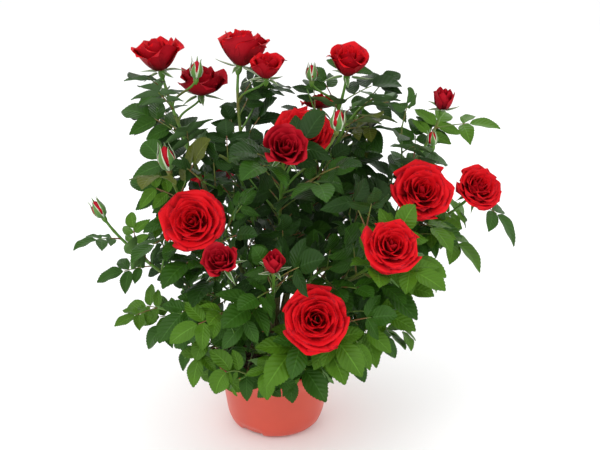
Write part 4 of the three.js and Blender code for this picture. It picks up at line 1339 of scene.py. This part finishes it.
def leaf_stalk():
    """Rose leaf stalk, grown: slim and green, flushed red-brown in short stretches."""
    return flushed("Rose leaf stalk, flushed", 0.5, 12, 0.42, 0.62, "#5F7A30", "#7A4A30")


VEINS = dict(number=7, slant=0.55)  # side veins on each side of a midrib, and how fast they run forward


def leaf_upper(name, colour):
    """Rose leaf, upper side, grown: a waxy cuticle, a paler midrib, and side veins sunk between raised
    fields."""
    material, tree, shader = surface(name, Roughness=0.48, IOR=1.42, Specular_IOR_Level=0.24)
    _, out, along = blade_place(tree)
    off = off_midrib(tree, out)
    rib = node(tree, "MapRange", {"Value": off, "From Min": 0.034, "From Max": 0.012})
    # the side veins run out and forward from the midrib, as lines of equal along - slant * off
    wave = node(tree, "Math", {0: off, 1: -VEINS["slant"], 2: along}, operation="MULTIPLY_ADD")
    wave = node(tree, "Math", {0: wave, 1: VEINS["number"] * math.tau}, operation="MULTIPLY")
    wave = node(tree, "Math", {0: wave}, operation="COSINE")
    vein = node(tree, "MapRange", {"Value": wave, "From Min": 0.72, "From Max": 1.0})
    vein = node(tree, "Math", {0: vein, 1: 0.14}, operation="MULTIPLY")
    lines = node(tree, "Math", {0: rib, 1: vein}, operation="MAXIMUM")
    blotch = patches(tree, 30, 0.3, 0.7, detail=3.0)
    field = node(tree, "Mix", {FACTOR: blotch, A: opaque(colour, 0.72), B: colour}, COLOUR, data_type="RGBA")
    pale = tuple(min(1, part * 1.3 + 0.008) for part in colour[:3]) + (1.0,)
    shade = node(tree, "Mix", {FACTOR: lines, A: field, B: pale}, COLOUR, data_type="RGBA")
    relief = node(tree, "Bump", {"Height": wave, "Strength": 0.3, "Distance": 0.5 * MM})
    plug(shader, {"Base Color": shade, "Normal": relief})
    return material


def leaf_under(name, colour):
    """Rose leaf, underside, grown: paler, greyer and matt, because it has no waxy cuticle."""
    material, tree, shader = surface(name, Roughness=0.68, IOR=1.4, Specular_IOR_Level=0.25)
    blotch = patches(tree, 24, 0.3, 0.7)
    shade = node(tree, "Mix", {FACTOR: blotch, A: opaque(colour, 0.8), B: colour}, COLOUR, data_type="RGBA")
    plug(shader, {"Base Color": shade})
    return material


def petal(name, colour, foot_shade):
    """Rose petal, grown: velvety, because its surface cells stand up like pile; painted shade darkens it
    towards its foot, deep within the bloom.
    """
    material, tree, shader = surface(name, Roughness=0.66, IOR=1.4, Specular_IOR_Level=0.22)
    place, _, along = blade_place(tree)
    # painted shade: the red darkens from 0.8 of the way up down to the petal's foot, deep within the bloom,
    # with soft random patches of real tone mixed in
    up = node(tree, "MapRange", {"Value": along, "From Min": 0.25, "From Max": 0.8})
    cloud = patches(tree, 9, 0.25, 0.75, detail=3.0)
    unshaded = node(tree, "Math", {0: cloud, 1: 0.35, 2: up}, operation="MULTIPLY_ADD", use_clamp=True)
    shade = node(tree, "Mix", {FACTOR: unshaded, A: foot_shade, B: colour}, COLOUR, data_type="RGBA")
    # fine ribs run from foot to rim: 14 across a petal, drawn out along it
    ribs = node(tree, "Mapping", {"Vector": place, "Scale": (14, 1.6, 1)})
    ribs = node(tree, "TexNoise", {"Vector": ribs, "Scale": 1.0, "Detail": 1.0})
    relief = node(tree, "Bump", {"Height": ribs, "Strength": 0.18, "Distance": 0.2 * MM})
    plug(shader, {"Base Color": shade, "Normal": relief})
    return material


def sepal():
    """Rose sepal, grown: downy green with a pale felted rim."""
    material, tree, shader = surface("Rose sepal, downy", Roughness=0.7, Sheen_Weight=0.2)
    off = off_midrib(tree, blade_place(tree)[1])
    rim = node(tree, "MapRange", {"Value": off, "From Min": 0.3, "From Max": 0.46})
    green, felt = linear("#4F7A2E"), linear("#D3DCC2")
    shade = node(tree, "Mix", {FACTOR: rim, A: green, B: felt}, COLOUR, data_type="RGBA")
    plug(shader, {"Base Color": shade})
    return material


# What a user would change

def hexed(colour):
    """The default of a colour setting."""
    return linear(colour)[:3]


class RosePotSettings(bpy.types.PropertyGroup):
    """Sizes and colours of the pot."""
    pot_width: FloatProperty(
        name="Width", description="Across the lip", default=2 * POT["lip"] * MM, unit="LENGTH")
    pot_height: FloatProperty(
        name="Height", description="From the foot to the top of the lip", default=POT["height"] * MM,
        unit="LENGTH")
    pot_wall: FloatProperty(
        name="Wall", description="Thickness of the plastic", default=POT["wall"] * MM, unit="LENGTH")
    pot_colour: FloatVectorProperty(
        name="Pot colour", description="Colour of the plastic", subtype="COLOR", default=hexed("#CC4D39"))
    compost_colour: FloatVectorProperty(
        name="Compost colour", description="Colour of the darkest crumbs", subtype="COLOR",
        default=hexed("#1E1610"))


class RosePlantSettings(bpy.types.PropertyGroup):
    """Sizes and colours of the plant."""
    leaflet_scale: FloatProperty(
        name="Leaflet size", description="Size of a drawn leaflet against the room it was given",
        default=0.94, subtype="FACTOR")
    # painted shade: the dark green goes to leaves deep inside the bush
    leaf_dark: FloatVectorProperty(
        name="Dark leaf", description="Leaves inside the bush", subtype="COLOR", default=hexed("#1E3D0B"))
    leaf_mid: FloatVectorProperty(
        name="Middle leaf", description="Most leaves", subtype="COLOR", default=hexed("#2E550F"))
    # painted light: the light green goes to leaves far out at the rim of the bush
    leaf_light: FloatVectorProperty(
        name="Light leaf", description="Leaves at the rim of the bush", subtype="COLOR",
        default=hexed("#4A7314"))
    leaf_bronze: FloatVectorProperty(
        name="Bronze leaf", description="The youngest leaves", subtype="COLOR", default=hexed("#525B1C"))
    petal_inner: FloatVectorProperty(
        name="Petal", description="Inner face of the petals", subtype="COLOR", default=hexed("#D40C19"))
    # partly real, partly painted shade: the petal's back is a little more crimson, and is darkened as the
    # outer petals are in shade
    petal_outer: FloatVectorProperty(
        name="Petal back", description="Outer face of the petals", subtype="COLOR", default=hexed("#AE0D1E"))
    petal_young: FloatVectorProperty(
        name="Young petal", description="Petals of buds and of blooms that still open", subtype="COLOR",
        default=hexed("#AC0C20"))


class RoseStageSettings(bpy.types.PropertyGroup):
    """The camera's place and the lights."""
    distance: FloatProperty(
        name="Distance", description="From the camera to what it looks at", default=0.9, unit="LENGTH")
    elevation: FloatProperty(
        name="Elevation", description="How far the camera looks down", default=math.radians(20),
        subtype="ANGLE", unit="ROTATION")
    lens: FloatProperty(
        name="Lens", description="Focal length in millimetres", default=54)
    target: FloatVectorProperty(
        name="Target", description="What the camera looks at", default=(0.026, 0, 0.22),
        subtype="TRANSLATION", unit="LENGTH")
    floor_colour: FloatVectorProperty(
        name="Floor", description="Colour of floor and backdrop", subtype="COLOR", default=hexed("#FCFCFC"))


GROWN = {}  # the bush as it was laid out, for the operators that dress it


def grow():
    """Lays out the canes, twigs and leaves once."""
    if GROWN:
        return GROWN
    bush = Bush()
    leaves = [leaf for i in range(len(SHOOTS)) for leaf in leaves_of(bush, i)]
    bush.twigs = [twigs_of(bush, i) for i in range(len(SHOOTS))]
    leaves += [leaf for i in range(len(SHOOTS)) for leaf in end_leaves(bush, i)]
    leaves += [leaf for i in range(len(SHOOTS)) for leaf in fine_leaves(bush, i)]
    GROWN.update(bush=bush, leaves=leaves)
    return GROWN


class ROSE_OT_pot(bpy.types.Operator):
    """Make the plastic pot"""
    bl_idname = "rose.pot"
    bl_label = "Pot"

    def execute(self, context):
        settings = context.scene.rose_pot
        make_pot(settings, moulded_polypropylene(opaque(settings.pot_colour)))
        return {"FINISHED"}


class ROSE_OT_compost(bpy.types.Operator):
    """Make the compost in the pot"""
    bl_idname = "rose.compost"
    bl_label = "Compost"

    def execute(self, context):
        make_compost(sifted_compost(opaque(context.scene.rose_pot.compost_colour)))
        return {"FINISHED"}


class ROSE_OT_wood(bpy.types.Operator):
    """Make the crown, the canes, the stalks and the prickles"""
    bl_idname = "rose.wood"
    bl_label = "Wood"

    def execute(self, context):
        bark = furrowed_bark()
        make_crown(bark)
        make_limbs(grow()["bush"], bark, green_cane())
        return {"FINISHED"}


UNDER_LEAF = dict(colour="#6F8F60", share=0.45)  # the pale grey-green that its underside goes towards


class ROSE_OT_leaves(bpy.types.Operator):
    """Make the leaves and their stalks"""
    bl_idname = "rose.leaves"
    bl_label = "Leaves"

    def execute(self, context):
        settings = context.scene.rose_plant
        draw = seeded(SEEDS["shapes"])
        blades = {tint: {half: Sheets() for half in ("front", "back")} for tint in TINTS}
        stalks = Sheets()
        for leaf in grow()["leaves"]:
            tint = tint_of(leaf["leaf"], leaf["owner"], draw)
            half = "front" if leaf["leaf"]["midrib"](0.5)[1] < 0 else "back"
            for leaflet in leaf["leaflets"]:
                add_leaflet(blades[tint][half], leaf["leaf"], leaflet, draw, settings.leaflet_scale)
            add_stalk(stalks, leaf["leaf"], leaf["leaflets"])
        for tint, halves in blades.items():
            colour, pale = opaque(getattr(settings, "leaf_" + tint)), linear(UNDER_LEAF["colour"])
            under = tuple(lerp(*parts, UNDER_LEAF["share"]) for parts in zip(colour, pale))
            name = f"Rose leaf, {tint}"
            faces = [leaf_upper(name, colour), leaf_under(name + " underside", under)]
            for half, sheets in halves.items():
                if sheets.count:
                    sheets.build(f"leaves_{tint}_{half}", faces, "foliage")
        stalks.build("leaf_stalks", [leaf_stalk()], "cane")
        return {"FINISHED"}


# The painted shade at a petal's foot, deep within the bloom, on its inner and its outer face
PETAL_FOOT_SHADE, YOUNG_PETAL_FOOT_SHADE = ("#78060F", "#670814"), ("#5E0612", "#560716")


class ROSE_OT_blooms(bpy.types.Operator):
    """Make the petals, sepals and calyxes of all the flowers"""
    bl_idname = "rose.blooms"
    bl_label = "Blooms"

    def execute(self, context):
        settings = context.scene.rose_plant
        reds = (settings.petal_inner, settings.petal_outer)
        faces = ("inner face", "outer face")
        older = [
            petal(f"Rose petal, {face}", opaque(red), linear(foot_shade))
            for face, red, foot_shade in zip(faces, reds, PETAL_FOOT_SHADE)
        ]
        younger = [
            petal(f"Rose petal, young, {face}", opaque(settings.petal_young), linear(foot_shade))
            for face, foot_shade in zip(faces, YOUNG_PETAL_FOOT_SHADE)
        ]
        draw = seeded(SEEDS["petals"])
        groups = {style: Sheets() for style in BLOOMS}
        sepals, calyxes = Sheets(), Sheets()
        for flower in FLOWERS:
            axes = bloom_frame(flower, draw)
            add_bloom(groups[style_of(flower)], flower, axes, draw)
            add_sepals(sepals, flower, axes, draw)
            add_calyx(calyxes, flower)
        for style, sheets in groups.items():
            sheets.build(f"petals_{style}", older if style in ("full", "cup") else younger, "petals")
        sepals.build("sepals", [sepal()], "foliage")
        calyxes.build("calyxes", [green_cane()], "cane")
        return {"FINISHED"}


FLOOR_REACH = 60  # metres, so that no edge shows
SKY_LIGHT = 1.03  # a white room, just brighter than white on paper
SENSOR = 36  # mm across
# Name, place, size across and power of each lamp
LAMPS = (
    ("key", (-0.9, -1.3, 1.5), 1.1, 13),
    ("fill", (1.3, -0.9, 0.9), 1.4, 5),
    ("rim", (0.2, 1.4, 1.3), 1.2, 6),
)


class ROSE_OT_stage(bpy.types.Operator):
    """Make the floor, the lights and the camera"""
    bl_idname = "rose.stage"
    bl_label = "Stage"

    def execute(self, context):
        scene, settings = context.scene, context.scene.rose_stage
        scene.view_settings.view_transform = "Standard"
        target = Vector(settings.target)
        mesh = bpy.data.meshes.new("floor")
        corners = [(x * FLOOR_REACH, y * FLOOR_REACH, 0) for x, y in ((-1, -1), (1, -1), (1, 1), (-1, 1))]
        mesh.from_pydata(corners, [], [(0, 1, 2, 3)])
        floor = bpy.data.objects.new("floor", mesh)
        scene.collection.objects.link(floor)
        # paper, uncoated: white and matt, so that only the soft shadow shows on it
        paper = surface("Paper backdrop, matt", Base_Color=opaque(settings.floor_colour), Roughness=0.9)[0]
        mesh.materials.append(paper)
        world = scene.world or bpy.data.worlds.new("World")
        scene.world = world
        world.use_nodes = True
        background = world.node_tree.nodes["Background"]
        background.inputs["Color"].default_value = (1, 1, 1, 1)
        background.inputs["Strength"].default_value = SKY_LIGHT
        for name, at, size, power in LAMPS:
            light = bpy.data.lights.new(name, "AREA")
            light.energy, light.size = power, size
            lamp = bpy.data.objects.new(name, light)
            lamp.location = at
            lamp.rotation_euler = (target - Vector(at)).to_track_quat("-Z", "Y").to_euler()
            scene.collection.objects.link(lamp)
        camera = bpy.data.objects.new("camera", bpy.data.cameras.new("camera"))
        camera.data.lens, camera.data.sensor_width = settings.lens, SENSOR
        back = Vector((0, -math.cos(settings.elevation), math.sin(settings.elevation)))
        camera.location = target + back * settings.distance
        camera.rotation_euler = (-back).to_track_quat("-Z", "Y").to_euler()
        scene.collection.objects.link(camera)
        scene.camera = camera
        return {"FINISHED"}


class ROSE_PT_panel(bpy.types.Panel):
    """Lists what the rose bush is made of"""
    bl_label = "Rose bush"
    bl_idname = "ROSE_PT_panel"
    bl_space_type = "VIEW_3D"
    bl_region_type = "UI"
    bl_category = "Rose bush"

    def draw(self, context):
        for operator in OPERATORS:
            self.layout.operator(operator.bl_idname)
        for group, kind in SETTINGS.items():
            box = self.layout.box()
            for name in kind.__annotations__:
                box.prop(getattr(context.scene, group), name)


OPERATORS = (ROSE_OT_pot, ROSE_OT_compost, ROSE_OT_wood, ROSE_OT_leaves, ROSE_OT_blooms, ROSE_OT_stage)
SETTINGS = {"rose_pot": RosePotSettings, "rose_plant": RosePlantSettings, "rose_stage": RoseStageSettings}


def register():
    """Adds the settings, the operators and the panel to Blender."""
    for kind in (*SETTINGS.values(), *OPERATORS, ROSE_PT_panel):
        bpy.utils.register_class(kind)
    for name, kind in SETTINGS.items():
        setattr(bpy.types.Scene, name, PointerProperty(type=kind))


def unregister():
    """Takes them out again."""
    for name in SETTINGS:
        delattr(bpy.types.Scene, name)
    for kind in (ROSE_PT_panel, *OPERATORS, *SETTINGS.values()):
        bpy.utils.unregister_class(kind)


def main():
    """Builds the whole scene."""
    register()
    for operator in OPERATORS:
        group, name = operator.bl_idname.split(".")
        getattr(getattr(bpy.ops, group), name)()


if __name__ == "__main__":
    main()
